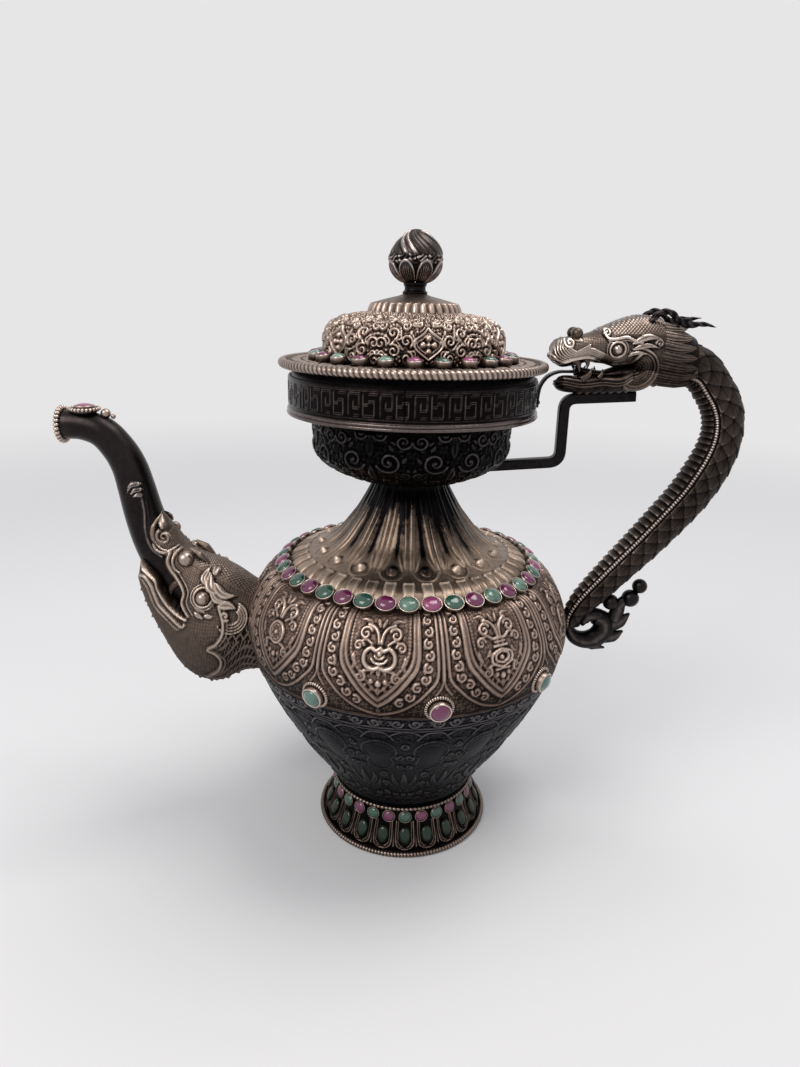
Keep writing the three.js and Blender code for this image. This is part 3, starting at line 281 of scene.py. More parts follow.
def silver(name, deep, plain, bright, rough=(0.62, 0.30), grain=1.0):
    """Oxidised silver. The tone runs from black hollows through the plain patina to rubbed high places:
    it is the piece's wear_and_painted_light value, its wear and in some pieces painted light and shade,
    plus 0.34 of a large stain and 0.3 of a small mottle, each counted from its middle. `rough` is the
    roughness at both ends, `grain` the depth of hammering and scratches."""
    material, node, join = wired(name)
    place, wear_and_painted_light = node("TexCoord"), node("Attribute", attribute_name="wear_and_painted_light")
    stain = node("TexNoise", Scale=38.0, Detail=4.0, Roughness=0.6)
    mottle = node("TexNoise", Scale=420.0, Detail=3.0, Roughness=0.65)
    fine = node("TexNoise", Scale=2600.0, Detail=2.0)
    for texture in (stain, mottle, fine):
        join(place.outputs["Object"], texture.inputs["Vector"])
    level = wear_and_painted_light.outputs["Fac"]
    for texture, weight in ((stain, 0.34), (mottle, 0.30)):
        share = node("Math", operation="MULTIPLY_ADD")
        share.inputs[1].default_value = weight
        share.inputs[2].default_value = -weight / 2
        join(texture.outputs["Fac"], share.inputs[0])
        total = node("Math", operation="ADD")
        join(level, total.inputs[0])
        join(share.outputs[0], total.inputs[1])
        level = total.outputs[0]
    ramp = ramp_of(node, (0.08, deep), (0.98, bright))
    ramp.color_ramp.elements.new(0.5).color = (*plain, 1)
    join(level, ramp.inputs["Fac"])
    dull = spread_over(node, *rough)
    join(level, dull.inputs["Value"])
    hammer = node("Bump", Strength=0.35 * grain, Distance=0.0003)
    join(mottle.outputs["Fac"], hammer.inputs["Height"])
    scratch = node("Bump", Strength=0.25 * grain, Distance=0.00008)
    join(fine.outputs["Fac"], scratch.inputs["Height"])
    join(hammer.outputs["Normal"], scratch.inputs["Normal"])
    metal, out = node("BsdfPrincipled", Metallic=1.0), node("OutputMaterial")
    join(ramp.outputs["Color"], metal.inputs["Base Color"])
    join(dull.outputs["Result"], metal.inputs["Roughness"])
    join(scratch.outputs["Normal"], metal.inputs["Normal"])
    join(metal.outputs[0], out.inputs["Surface"])
    return material

def gem(name, dark, light, cloud, coat=0.35, index=1.58):
    """A polished cloudy cabochon: two tones in soft clouds, shifted from stone to stone by its own shade,
    carried in the wear_and_painted_light attribute (level = 0.8 * cloud + shade - 0.9), under a clear
    gloss."""
    material, node, join = wired(name)
    place, wear_and_painted_light = node("TexCoord"), node("Attribute", attribute_name="wear_and_painted_light")
    cloudy = node("TexNoise", Scale=cloud, Detail=4.0, Roughness=0.6, Distortion=0.6)
    join(place.outputs["Object"], cloudy.inputs["Vector"])
    level = node("Math", operation="MULTIPLY_ADD")
    level.inputs[1].default_value = 0.8
    join(cloudy.outputs["Fac"], level.inputs[0])
    shift = node("Math", operation="ADD")
    shift.inputs[1].default_value = -0.9
    join(wear_and_painted_light.outputs["Fac"], shift.inputs[0])
    join(shift.outputs[0], level.inputs[2])
    ramp = ramp_of(node, (0.1, dark), (0.75, light))
    join(level.outputs[0], ramp.inputs["Fac"])
    dull = spread_over(node, 0.1, 0.26)
    join(cloudy.outputs["Fac"], dull.inputs["Value"])
    chip = node("Bump", Strength=0.2, Distance=0.0002)
    join(cloudy.outputs["Fac"], chip.inputs["Height"])
    stone, out = node("BsdfPrincipled", IOR=index), node("OutputMaterial")
    stone.inputs["Coat Weight"].default_value = coat
    stone.inputs["Coat Roughness"].default_value = 0.06
    join(ramp.outputs["Color"], stone.inputs["Base Color"])
    join(dull.outputs["Result"], stone.inputs["Roughness"])
    join(chip.outputs["Normal"], stone.inputs["Normal"])
    join(stone.outputs[0], out.inputs["Surface"])
    return material

worked_silver = silver("worked_silver", (0.014, 0.010, 0.009), (0.185, 0.128, 0.102), (0.60, 0.475, 0.405))
wire_silver = silver("wire_silver", (0.016, 0.012, 0.010), (0.150, 0.110, 0.090), (0.58, 0.48, 0.42),
                     rough=(0.5, 0.26))
# Dark bluish silver for the band and the lower belly: part blue-black patina, part painted shade of the
# underside.
patina_and_painted_shade_silver = silver("patina_and_painted_shade_silver", (0.002, 0.002, 0.003), (0.0085, 0.009, 0.0125),
                       (0.125, 0.112, 0.112), rough=(0.5, 0.3))
# Dark wire for the foot: part patina, part painted shade of the foot.
patina_and_painted_shade_wire = silver("patina_and_painted_shade_wire", (0.006, 0.005, 0.005), (0.036, 0.027, 0.023), (0.25, 0.195, 0.165),
                     rough=(0.5, 0.3))
ruby = gem("ruby", (0.12, 0.010, 0.058), (0.40, 0.085, 0.205), 260.0)
emerald = gem("emerald", (0.016, 0.07, 0.045), (0.27, 0.42, 0.335), 240.0)

def beside(x, y, line, reach):
    """Which places lie in the box round a line, widened by `reach`; how far each of them is from the
    line; and at what share of the line, counted in its runs, it is nearest."""
    low, high = line.min(0) - reach, line.max(0) + reach
    near = (x > low[0]) & (x < high[0]) & (y > low[1]) & (y < high[1])
    start, run = line[:-1], np.diff(line, axis=0)
    rx, ry = x[near][:, None] - start[:, 0], y[near][:, None] - start[:, 1]
    t = np.clip((rx * run[:, 0] + ry * run[:, 1]) / np.maximum((run**2).sum(1), 1e-9), 0, 1)
    gap = np.hypot(rx - t * run[:, 0], ry - t * run[:, 1])
    k = gap.argmin(1)
    row = np.arange(len(k))
    return near, gap[row, k], (k + t[row, k]) / len(run)

def stroke(field, x, y, points, half, rise, taper=0.0):
    """Raises a rounded bead along a line of points: at a distance d from it the height is
    rise * sqrt(1 - (d / half)^2). The bead narrows by the share `taper` towards its end."""
    near, gap, share = beside(x, y, np.asarray(points, float), half)
    wide = half * (1 - taper * share)
    top = rise * np.sqrt(np.clip(1 - (gap / wide) ** 2, 0, 1)) * (1 - 0.35 * taper * share)
    field[near] = np.maximum(field[near], top)

def button(field, x, y, cx, cy, radius, rise, tall=1.0):
    """Raises a round or oval knob: height is rise * sqrt(1 - d^2), d counted in radii."""
    d = ((x - cx) ** 2 + ((y - cy) / tall) ** 2) / radius**2
    np.maximum(field, rise * np.sqrt(np.clip(1 - d, 0, 1)), out=field)

def tile(columns, radius, repeats, rows):
    """Flat coordinates over one of several repeats round the axis, 0 at its middle: x, the distance to
    either side of the middle, y, and an empty relief."""
    x, y = np.meshgrid((np.arange(columns) / columns - 0.5) * 2 * np.pi * radius / repeats, rows)
    return x, np.abs(x), y, np.zeros(x.shape)

def placed(unit, centre, side, up, out):
    """Copies of one small grid, each set in its own frame of three directions."""
    frames = np.stack([side, up, out], -1)
    return np.einsum("nij,rcj->nrci", frames, unit) + centre[:, None, None, :]

def row_frames(count, radius, height, lean, start=0.0):
    """Frames of stones spaced evenly round the axis, from angle `start`, whose faces lean `lean` degrees
    up from level."""
    turn = np.radians(start) + np.arange(count) * 2 * np.pi / count
    flat = np.stack([np.sin(turn), -np.cos(turn), 0 * turn], 1)
    side = np.stack([np.cos(turn), np.sin(turn), 0 * turn], 1)
    lift, top = np.sin(np.radians(lean)), np.cos(np.radians(lean))
    out = flat * top + np.array([0, 0, lift])
    return flat * radius + np.array([0, 0, height]), side, np.cross(out, side), out

def stone_shape(wide, tall, rise, sink, flat=3.0, rings=6, sides=20):
    """A cabochon: an oval whose height falls as (1 - share^flat)^0.8 from a level top to its edge, with a
    plain foot below."""
    share = np.concatenate([np.linspace(0.16, 1, rings), [1.0]])
    height = np.append(rise * (1 - np.linspace(0.16, 1, rings) ** flat) ** 0.8, -sink)
    turn = np.linspace(0, 2 * np.pi, sides, endpoint=False)
    return np.stack([share[:, None] * wide / 2 * np.cos(turn), share[:, None] * tall / 2 * np.sin(turn),
                     height[:, None] + 0 * turn], -1)

bezel_wear = np.array([0.35, 0.5, 0.95, 1.0, 0.7, 0.4, 0.15])[:, None]    # brightest on the lip

def bezel_shape(wide, tall, wall, height, flare=0.0, sides=20):
    """The oval cup that holds a stone: a thin wall with a rolled lip, closed on itself."""
    turn = np.linspace(0, 2 * np.pi, sides, endpoint=False)
    ring = np.array([(0, -height), (0, 0.05), (0.25 * wall, 0.22), (0.75 * wall, 0.22), (wall, 0.0),
                     (wall + 0.15 * flare, -0.4 * height), (wall + flare, -height)])
    return np.stack([(wide / 2 + ring[:, :1]) * np.cos(turn), (tall / 2 + ring[:, :1]) * np.sin(turn),
                     ring[:, 1:] + 0 * turn], -1)

def stone_row(name, frames, kinds, wide, tall, rise, sink, body, nodes, wall=0.45, flare=0.1,
              cups=wire_silver, shades=(0.35, 1.0)):
    """One row of set stones: their bezels as one piece, and the stones of each kind as another. Each
    stone has its own shade between the two of `shades`."""
    shade = np.random.default_rng(len(name)).uniform(*shades, len(kinds))
    bezels = placed(bezel_shape(wide, tall, wall, sink, flare), *frames)
    piece(name + "_settings", [(g, bezel_wear, False) for g in bezels], cups, body, nodes, "wire")
    for kind, finish in (("ruby", ruby), ("emerald", emerald)):
        chosen = np.array([k == kind for k in kinds])
        if chosen.any():
            stones = placed(stone_shape(wide, tall, rise, 0.8 * sink), *[f[chosen] for f in frames])
            piece(f"{name}_{kind}", [(g, s, True) for g, s in zip(stones, shade[chosen])], finish, body,
                  nodes, kind)

def wire_ring(radius, height, thick, beads, depth, slant=0.0, sides=12, per_bead=6):
    """A round wire bent into a ring and reeded: its thickness dips `depth` between beads, as 1 less a
    cosine's absolute value to the power 0.7, along lines that slant round it."""
    turn = np.linspace(0, 2 * np.pi, beads * per_bead, endpoint=False)
    face = np.linspace(0, 2 * np.pi, sides, endpoint=False)[:, None]
    swell = np.abs(np.cos(beads * turn / 2 + slant * np.sin(face)))**0.7
    r = thick - depth * (1 - swell)
    out = radius + r * np.cos(face)
    wear_and_painted_light = np.clip(0.1 + 0.95 * swell - 0.3 * (np.cos(face) < -0.5), 0, 1)
    return np.stack([out * np.sin(turn), -out * np.cos(turn), height + r * np.sin(face)], -1), wear_and_painted_light

# The foot itself: a straight flaring wall of twenty-two petals over a row of beads, plain inside.
foot_top, foot_flare, foot_tall, foot_wall = 35.6, 7.0, 23.2, 1.2
foot_line = through([(foot_top + foot_flare * s, foot_tall * u) for s, u in
                     ((1, 0.0), (0.97, 0.05), (0.86, 0.17), (0.46, 0.45), (0.23, 0.65), (0.08, 0.85),
                      (0, 1))], 0.45)
foot_run = length_along(foot_line)
petals, per_petal = 22, 28
foot_inner = through([(foot_top - foot_wall, foot_tall),
                      (foot_top + 0.4 * foot_flare - foot_wall, 0.45 * foot_tall), (40.2, 0)], 3)
foot_grid = turned(np.vstack([foot_line, foot_inner]), petals * per_petal)
first_petal = 2.0    # degrees from the front to the middle of the nearest petal
column = np.arange(petals * per_petal) / per_petal - first_petal * petals / 360
foot_middle = 40    # the radius at which the petals' flat coordinates are true
local = ((column + 0.5) % 1 - 0.5) * 2 * np.pi * foot_middle / petals
x, y = np.meshgrid(local, foot_run)
relief = np.zeros(x.shape)
for grow, half, rise in ((0, 0.42, 0.6), (-1.05, 0.3, 0.45)):
    wide, foot_end = 4.6 + grow, 2.6 - grow
    stroke(relief, x, y, through([(-wide, 16.6), (-wide, 7.5), (-0.75 * wide, foot_end + 1.3),
                                  (0, foot_end), (0.75 * wide, foot_end + 1.3), (wide, 7.5), (wide, 16.6)],
                                 0.5), half, rise)
for side in (-1, 1):
    stroke(relief, x, y, [(side * 5.75, 4), (side * 5.75, 15)], 0.5, 0.5, 0.6)
    stroke(relief, x, y, [(side * 1.3, 3.6), (side * 2.4, 4.4), (side * 2.9, 5.8)], 0.3, 0.35)
bead_pitch, bead_height = 1.04, 1.4
beads = 0.45 * np.abs(np.cos(np.pi * (x + 20) / bead_pitch)) * np.exp(-((y - bead_height) / 0.55) ** 2)
relief = np.maximum(relief, beads)
relief = np.vstack([relief, np.zeros((len(foot_inner), x.shape[1]))])
# The foot's silver is nearly black: part patina, part painted shade of the foot.
foot_patina_and_painted_shade = silver("foot_patina_and_painted_shade", (0.003, 0.003, 0.003), (0.010, 0.008, 0.0078), (0.18, 0.13, 0.10),
                     rough=(0.5, 0.3))
piece("foot", [(lifted(foot_grid, relief, True), wear_of(relief, 0.6, 0.22), False)], foot_patina_and_painted_shade, "vessel",
      ["foot_shell"], "silver")
rim, rim_wear = wire_ring(foot_top + foot_flare + 1.7, 1.4, 1.38, 168, 0.35, per_bead=5, sides=10)
joint, joint_wear = wire_ring(foot_top + 1.6, foot_tall, 1.0, 112, 0.4, per_bead=5, sides=8)
piece("foot_wires", [(rim, rim_wear, False), (joint, joint_wear, False)], patina_and_painted_shade_wire, "vessel",
      ["foot_rim_wire", "foot_joint_wire"], "wire")
# The foot's stones get darker shades, 0 to 0.5 in place of 0.35 to 1: painted shade of the foot.
stone_row("foot_stones", row_frames(28, 37.4, 18.6, 12, 2.0), ["emerald", "ruby"] * 14, 5.9, 5.4, 1.0, 2.2,
          "vessel", ["foot_stone_row"], cups=patina_and_painted_shade_wire, shades=(0.0, 0.5))
petal_green = gem("petal_green", (0.002, 0.012, 0.006), (0.010, 0.055, 0.028), 320.0, coat=0.1, index=1.4)
petal_frames = row_frames(petals, 40.3, 9.6, 24, first_petal)
settings = placed(bezel_shape(5.4, 8.0, 0.35, 1.3, 0.1), *petal_frames)
piece("petal_settings", [(g, 0.4, False) for g in settings], patina_and_painted_shade_wire, "vessel", [], "wire")
ovals = placed(stone_shape(5.4, 8.0, 0.9, 1.2), *petal_frames)
piece("petal_stones", [(g, 0.7, True) for g in ovals], petal_green, "vessel", [], "emerald")

# Belly: a round-shouldered vase raised from sheet silver and chased all over: nine arched panels with
# lotus, vase and wheel between ribs and strips of small scrolls, a band of curls, and leaf scrollwork
# down to the foot.
belly_radius, belly_low, belly_tall, belly_wall = 79.8, 23.5, 119.4, 1.2
belly_line = through([(belly_radius * s, belly_low + belly_tall * u) for s, u in
                      ((0.439, 0), (0.519, 0.0883), (0.674, 0.2558), (0.84, 0.4395), (0.942, 0.5908),
                       (0.975, 0.6547), (1, 0.741), (0.98, 0.8415), (0.927, 0.9258), (0.857, 0.9841),
                       (0.765, 1.0))], 0.2)
belly_run = length_along(belly_line)
degree = 1.36    # millimetres of surface to one degree where the belly is about widest
panel = 40       # degrees to each of nine panels

def up_at(z):
    """How far up the belly's outline a height lies."""
    return np.interp(z, belly_line[:, 1], belly_run)

def on_belly(points):
    """Places given as (degrees from the panel's middle, height) in the flat coordinates of the chasing."""
    p = np.asarray(points, float)
    return np.stack([p[:, 0] * degree, up_at(p[:, 1])], 1)

def belly_slice(low, high, step, count):
    """The outline between two heights at even steps, the grid's flat coordinates over one of nine
    repeats."""
    run = np.linspace(up_at(low), up_at(high), int((up_at(high) - up_at(low)) / step))
    line = np.stack([np.interp(run, belly_run, belly_line[:, k]) for k in (0, 1)], 1)
    x, y = np.meshgrid((np.arange(count) / count - 0.5) * panel * degree, run)
    return line, x, y

def curl(cx, cy, radius, start, turns, hand=1):
    """A spiral from its outer end, at angle `start` in degrees, winding in to its middle."""
    t = np.linspace(0, 1, int(16 * turns) + 8)
    angle = np.radians(start) + hand * 2 * np.pi * turns * t
    r = radius * (1 - 0.86 * t)
    return np.stack([cx + r * np.cos(angle), cy + r * np.sin(angle)], 1)

def leaf(field, x, y, base, tip, half, rise, bend=0.0):
    """A pointed leaf from base to tip, bent to one side by `bend` of its length. Its half width swells as
    sin(pi * share^0.7), its height falls as a circle does, and a midrib is sunk along it."""
    base, tip = np.array(base, float), np.array(tip, float)
    across = np.array([base[1] - tip[1], tip[0] - base[0]])
    line = through([base, (base + tip) / 2 + bend * across, tip], np.linalg.norm(tip - base) / 6)
    near, gap, share = beside(x, y, line, half + 0.1)
    width = half * np.sin(np.pi * np.clip(share, 0.02, 0.98) ** 0.7)
    d = gap / np.maximum(width, 1e-3)
    top = rise * np.clip(1 - d**2, 0, 1) ** 0.5 * (1 - 0.35 * np.exp(-((d / 0.25) ** 2)))
    field[near] = np.maximum(field[near], top)

def scroll_chain(field, x, y, line, pitch, radius, half, rise):
    """A strip of small scrolls: along the line, at even pitch, spirals that turn alternately left and
    right, each with a small leaf at its tail."""
    run = length_along(line)
    stops = np.arange(pitch / 2, run[-1], pitch)
    for n, stop in enumerate(stops):
        here, further = [np.array([np.interp(v, run, side) for side in line.T]) for v in (stop, stop + 0.4)]
        way = np.degrees(np.arctan2(*(further - here)[::-1]))
        hand = 1 if n % 2 else -1
        stroke(field, x, y, curl(*here, radius, way - 150 * hand, 1.25, hand), half, rise, 0.35)
        side = toward(np.radians(way + 90 * hand))
        tail = here - 0.9 * radius * side
        tip = tail + radius * side * 0.1 + 1.1 * radius * toward(np.radians(way))
        leaf(field, x, y, tail - 0.2 * radius, tip, 0.8 * half, 0.8 * rise)

# The panel's border and the scalloped rib round it, from the top down to their points at the middle.
panel_edge = on_belly([(12.8, 143), (12.8, 136), (12.7, 128), (11.7, 122.8), (9.4, 118.4), (6.3, 113.3),
                       (3.0, 108.9), (0, 105.9)])
scallop = on_belly([(18.4, 143), (18.4, 134), (18.3, 122), (17.3, 117.6), (15.0, 114), (11.9, 109.6),
                    (7.3, 105), (3.4, 102.9), (0, 101.9)])

def frame_lines(x, y):
    """The arched panel's stepped border with its milled inner line, the outer scalloped rib, and the strips
    between."""
    relief, side = np.zeros(x.shape), np.abs(x)
    edge, rib = through(panel_edge, 1), through(scallop, 1)
    stroke(relief, side, y, edge - (0.5, -0.5), 1.15, 1.0)
    stroke(relief, side, y, edge - (2.3, -2.0), 1.0, 0.85)
    milled = np.zeros(x.shape)
    stroke(milled, side, y, edge - (4.3, -3.9), 0.62, 0.7)
    relief = np.maximum(relief, milled * (0.35 + 0.65 * np.abs(np.cos(np.pi * y / 1.5))))
    stroke(relief, side, y, rib, 0.75, 0.8)
    stroke(relief, side, y, np.array([(panel / 2 * degree, 200), (panel / 2 * degree, up_at(119))]), 0.8,
           0.9)
    stroke(relief, side, y, through(on_belly([(20, 119), (19.2, 115.5), (17.6, 112.5)]), 1), 0.6, 0.7)
    paired = [0, 2, 3, 4, 5, 6]    # the points of both lines that face each other
    middle = through((panel_edge[paired] + scallop[paired]) / 2, 1)
    scroll_chain(relief, side, y, middle, 5.0, 2.15, 0.72, 1.0)
    leaf(relief, x, y, (0, up_at(102.6)), (0, up_at(105.4)), 1.2, 0.6)
    stroke(relief, side, y, on_belly([(0, 100.4), (20, 100.4)]), 0.6, 0.7)
    return relief

def motif(x, y, kind):
    """The figure inside a panel, alike left and right: scrolls above, then by `kind` a lotus (0), a
    lidded vase (1) or a wheel (2), and beads and leaves below."""
    relief, side = np.zeros(x.shape), np.abs(x)
    def line(points, half=0.75, rise=1.0, taper=0.0):
        stroke(relief, side, y, through(on_belly(points), 0.5), half, rise, taper)
    def knob(deg, z, radius, rise, tall=1.0):
        button(relief, side, y, deg * degree, up_at(z), radius, rise, tall)
    def spiral(deg, z, radius, start, turns, hand, half=0.7, rise=1.0):
        stroke(relief, side, y, curl(deg * degree, up_at(z), radius, start, turns, hand), half, rise, 0.3)
    def blade(base, tip, half, rise, bend=0.0):
        leaf(relief, side, y, *on_belly([base, tip]), half, rise, bend)
    spiral(5.0, 136.2, 2.9, 150, 1.35, -1, 0.8, 1.15)
    line([(0.4, 133.2), (0.9, 136.4), (2.5, 138.6), (4.6, 139.4)], 0.85, 1.15)
    blade((3.2, 139.8), (7.6, 140.6), 1.1, 0.8, 0.15)
    blade((0.5, 138.4), (1.6, 141.6), 0.9, 0.8)
    spiral(6.9, 131.6, 2.3, 170, 1.3, -1, 0.72)
    line([(2.6, 132.6), (4.4, 134.0), (5.9, 133.6)], 0.7, 0.9)
    spiral(5.6, 119.6, 2.2, 120, 1.3, 1, 0.7)
    line([(2.4, 122.6), (4.0, 122.4), (5.2, 121.6)], 0.7, 0.9)
    blade((8.2, 128.6), (6.6, 124.2), 1.05, 0.9, 0.2)
    blade((7.4, 125.6), (8.3, 121.6), 0.9, 0.8)
    knob(0, 117.0, 1.5, 1.1)
    knob(2.2, 117.9, 1.15, 0.9)
    knob(3.9, 116.2, 0.8, 0.7)
    blade((0, 115.6), (0, 111.2), 1.1, 0.8)
    blade((1.4, 115.2), (3.2, 113.2), 0.8, 0.7)
    if kind == 0:
        line([(0, 124.0), (1.8, 123.2), (3.9, 124.2), (4.9, 126.6), (4.6, 129.4), (3.0, 131.2),
              (1.2, 130.3), (0, 131.4)], 0.95, 1.35)
        line([(0, 125.3), (1.5, 125.8), (2.5, 127.2)], 0.6, 1.3)
        line([(0, 127.2), (0.9, 127.5), (1.5, 128.4)], 0.55, 1.2)
        knob(0, 129.2, 1.3, 1.5)
        blade((1.2, 123.6), (2.6, 120.4), 1.0, 0.9)
        blade((0, 123.4), (0, 119.6), 1.1, 1.0)
    elif kind == 1:
        for z, wide in ((124.6, 3.4), (125.0, 2.2)):
            line([(0, z - wide * 1.1), (wide, z - 0.5 * wide), (wide * 1.05, z + 0.5 * wide),
                  (0, z + wide * 1.1)], 0.6, 1.3)
        knob(0, 124.8, 1.2, 1.2)
        for z, wide in ((129.6, 2.5), (131.2, 1.8), (132.6, 2.3)):
            line([(0, z), (wide, z)], 0.65, 1.3)
        line([(0.9, 129.6), (0.9, 132.6)], 0.6, 1.0)
        blade((0, 133.0), (0, 137.6), 1.1, 1.2)
        blade((4.2, 128.8), (6.2, 125.6), 0.9, 0.9, -0.2)
        line([(0, 120.4), (2.4, 120.1)], 0.7, 1.0)
    else:
        hub, middle = 126.8, (0, up_at(126.8))
        turn = np.radians(np.arange(-90, 91, 15))
        for radius, half in ((4.7, 0.75), (3.3, 0.45)):
            stroke(relief, side, y, radius * toward(turn).T + middle, half, 1.25)
        for angle in (-90, -45, 0, 45, 90):
            ray = toward(np.radians(angle))
            leaf(relief, side, y, 0.8 * ray + middle, 5.6 * ray + middle, 0.8, 1.1)
        knob(0, hub, 1.3, 1.5)
    return relief

def around(tile_list, offset=0, repeats=9):
    """Repeats of the chasing side by side, the list taken in turn, the first one's middle at `offset`
    degrees."""
    each = 360 / repeats
    many = tile_list[0].shape[1]
    whole = np.concatenate([tile_list[k % len(tile_list)] for k in range(repeats)], 1)
    return np.roll(whole, round((offset - each / 2) / each * many), 1)

def shell_of(line, relief, wall, inner_step, wear_and_painted_light, count):
    """A closed wall: the outside stands out from the outline along the outline's own normal by its
    relief, and the plain inside, of one row in `inner_step`, is set back by the wall's thickness."""
    along = np.gradient(line, axis=0)
    normal = np.stack([along[:, 1], -along[:, 0]], 1) / np.linalg.norm(along, axis=1, keepdims=True)
    turn = np.linspace(0, 2 * np.pi, count, endpoint=False)
    radius = line[:, :1] + relief * normal[:, :1]
    height = line[:, 1:] + relief * normal[:, 1:]
    outside = np.stack([radius * np.sin(turn), -radius * np.cos(turn), height], -1)
    few = np.unique(np.linspace(0, len(line) - 1, max(3, int(len(line) / inner_step))).astype(int))[::-1]
    bright = np.vstack([wear_and_painted_light, np.full((len(few), count), 0.3)])
    return np.concatenate([outside, turned((line - wall * normal)[few], count)]), bright, False

def seeded(x, y, pitch):
    """A ground of tiny worm-like curls between the main lines: the product of two sines, each bent by the
    other's direction, from 0 to 1."""
    one = np.sin(2 * np.pi * x / pitch + 1.7 * np.sin(2 * np.pi * y / (1.45 * pitch)))
    other = np.sin(2 * np.pi * y / pitch + 1.7 * np.sin(2 * np.pi * x / (1.3 * pitch)))
    return np.clip(0.5 + 0.75 * one * other, 0, 1)

def chased(relief, x, y, ground_rise=0.42, pitch=2.6):
    """The relief with its empty ground filled by seeded curls, kept clear of the main lines' feet."""
    clear = np.clip(1 - softened(relief, 2) / 0.25, 0, 1)
    return np.maximum(relief, ground_rise * seeded(x, y, pitch) * clear)

line, panel_x, panel_y = belly_slice(100.3, 142.9, 0.54, 108)
frame_relief = frame_lines(panel_x, panel_y)
panels = [np.maximum(frame_relief, motif(panel_x, panel_y, kind)) for kind in (0, 1, 2)]
fade = np.clip((panel_y.max() - panel_y) / 4, 0, 1) ** 0.5
relief = around([0.95 * fade * chased(tile, panel_x, panel_y) for tile in panels], -8.8)
# Painted shade: the ground tone is darker towards the underside and lighter towards the belly's top.
ground_tone = np.interp(panel_y[:, :1], up_at(np.array([101, 106, 113, 121])), (0.05, 0.12, 0.28, 0.38))
piece("belly_panels", [shell_of(line, relief, belly_wall, 18, wear_of(relief, 1.0, ground_tone, 0.12), 972)],
      worked_silver, "vessel", ["body_upper"], "silver")

# Band: under the panels, between plain lines, six curls to each panel's width, turned left and right by
# turns with leaves between them, over a row of shallow arches.
line, x, y = belly_slice(86.2, 100.3, 0.42, 100)
relief, side = np.zeros(x.shape), np.abs(x)
for k in range(6):
    hand = 1 if k % 2 else -1
    cx, cy = (k - 2.5) * panel / 6 * degree, up_at(97.2)
    stroke(relief, x, y, curl(cx - 0.6 * hand, cy, 2.5, 90 + 90 * hand, 1.4, hand), 0.75, 1.0, 0.35)
    button(relief, x, y, cx - 0.6 * hand, cy, 0.7, 0.9)
    leaf(relief, x, y, (cx + 1.2 * hand, cy - 2.4), (cx + 4.4 * hand, cy + 1.5), 1.05, 0.85, 0.25 * hand)
    leaf(relief, x, y, (cx + 2.0 * hand, cy + 2.4), (cx + 4.2 * hand, cy - 2.2), 0.75, 0.7, -0.2 * hand)
for z, half in ((100.3, 0.8), (93.9, 0.6), (92.4, 0.45)):
    stroke(relief, x, y, [(-30, up_at(z)), (30, up_at(z))], half, 0.75)
for middle, reach, low, high in ((0, 5.5, 89.0, 92.0), (10, 6.0, 86.0, 91.2), (20, 5.5, 89.0, 92.0)):
    arc = through(on_belly([(middle - reach, low), (middle - 0.5 * reach, high - 0.7), (middle, high),
                            (middle + 0.5 * reach, high - 0.7), (middle + reach, low)]), 0.6)
    stroke(relief, side, y, arc, 0.6, 0.8)
relief = around([chased(relief, x, y)])
# Painted shade: the band is darker towards its lower edge and up to 0.14 lighter towards its top.
painted_shade_by_height = np.interp(y, (up_at(86.2), up_at(97)), (0.0, 1.0))
band_wear_and_painted_shade = wear_of(relief, 1.0, 0.36, 0.12) + np.tile(0.14 * painted_shade_by_height, (1, 9))
piece("belly_band", [shell_of(line, relief, belly_wall, 18, np.clip(band_wear_and_painted_shade, 0, 1), 900)], patina_and_painted_shade_silver,
      "vessel", [], "silver")

# Lower belly: under the band stand eighteen cloud-shaped lobes, slightly domed and finely ruled, with
# curling leaves under and between them in a staggered second ring, down to a beaded border at the foot.
# Darkest of the silver: part blue-black patina, part painted shade of the underside.
line, x, y = belly_slice(23.5, 86.2, 0.64, 90)
relief, side = np.zeros(x.shape), np.abs(x)
def low_leaf(base, tip, half, rise, bend=0.0):
    """A leaf of the lower scrollwork, its ends given as (degrees, height)."""
    leaf(relief, side, y, *on_belly([base, tip]), half, rise, bend)

def low_spirals(rows, turns, half, rise):
    """Spirals given as (degrees, height, radius, start, hand); returns their middles."""
    middles = on_belly([row[:2] for row in rows])
    for (cx, cy), (_, _, radius, start, hand) in zip(middles, rows):
        stroke(relief, side, y, curl(cx, cy, radius, start, turns, hand), half, rise, 0.3)
    return middles

cloud = on_belly([(10, 62.5), (6.6, 64.5), (4.6, 68.4), (5.4, 72.6), (3.4, 76.4), (4.2, 81.2), (7.0, 84.4),
                  (10, 85.4), (13.0, 84.4), (15.8, 81.2), (16.6, 76.4), (14.6, 72.6), (15.4, 68.4),
                  (13.4, 64.5), (10, 62.5)])
cloud_x, cloud_y = 10 * degree, up_at(74.5)
from_cloud = np.abs(side - cloud_x)
inside = np.hypot(from_cloud / 7.2, (y - cloud_y) / 9.5)    # 1 on an oval that just fits in the cloud
ruled = 0.3 * np.clip((1.0 - inside) / 0.2, 0, 1) * np.abs(np.sin(np.pi * (y + 0.35 * from_cloud) / 1.7))
stroke(relief, side, y, through(cloud, 0.5), 0.5, 0.7)
low_spirals(((0.0, 81.6, 2.2, 200, 1), (20.0, 81.6, 2.2, 200, 1), (1.9, 73.2, 2.3, 20, -1),
             (18.1, 73.2, 2.3, 200, 1), (1.8, 65.6, 2.2, 200, 1), (18.2, 65.6, 2.2, 20, -1)), 1.4, 0.7, 1.0)
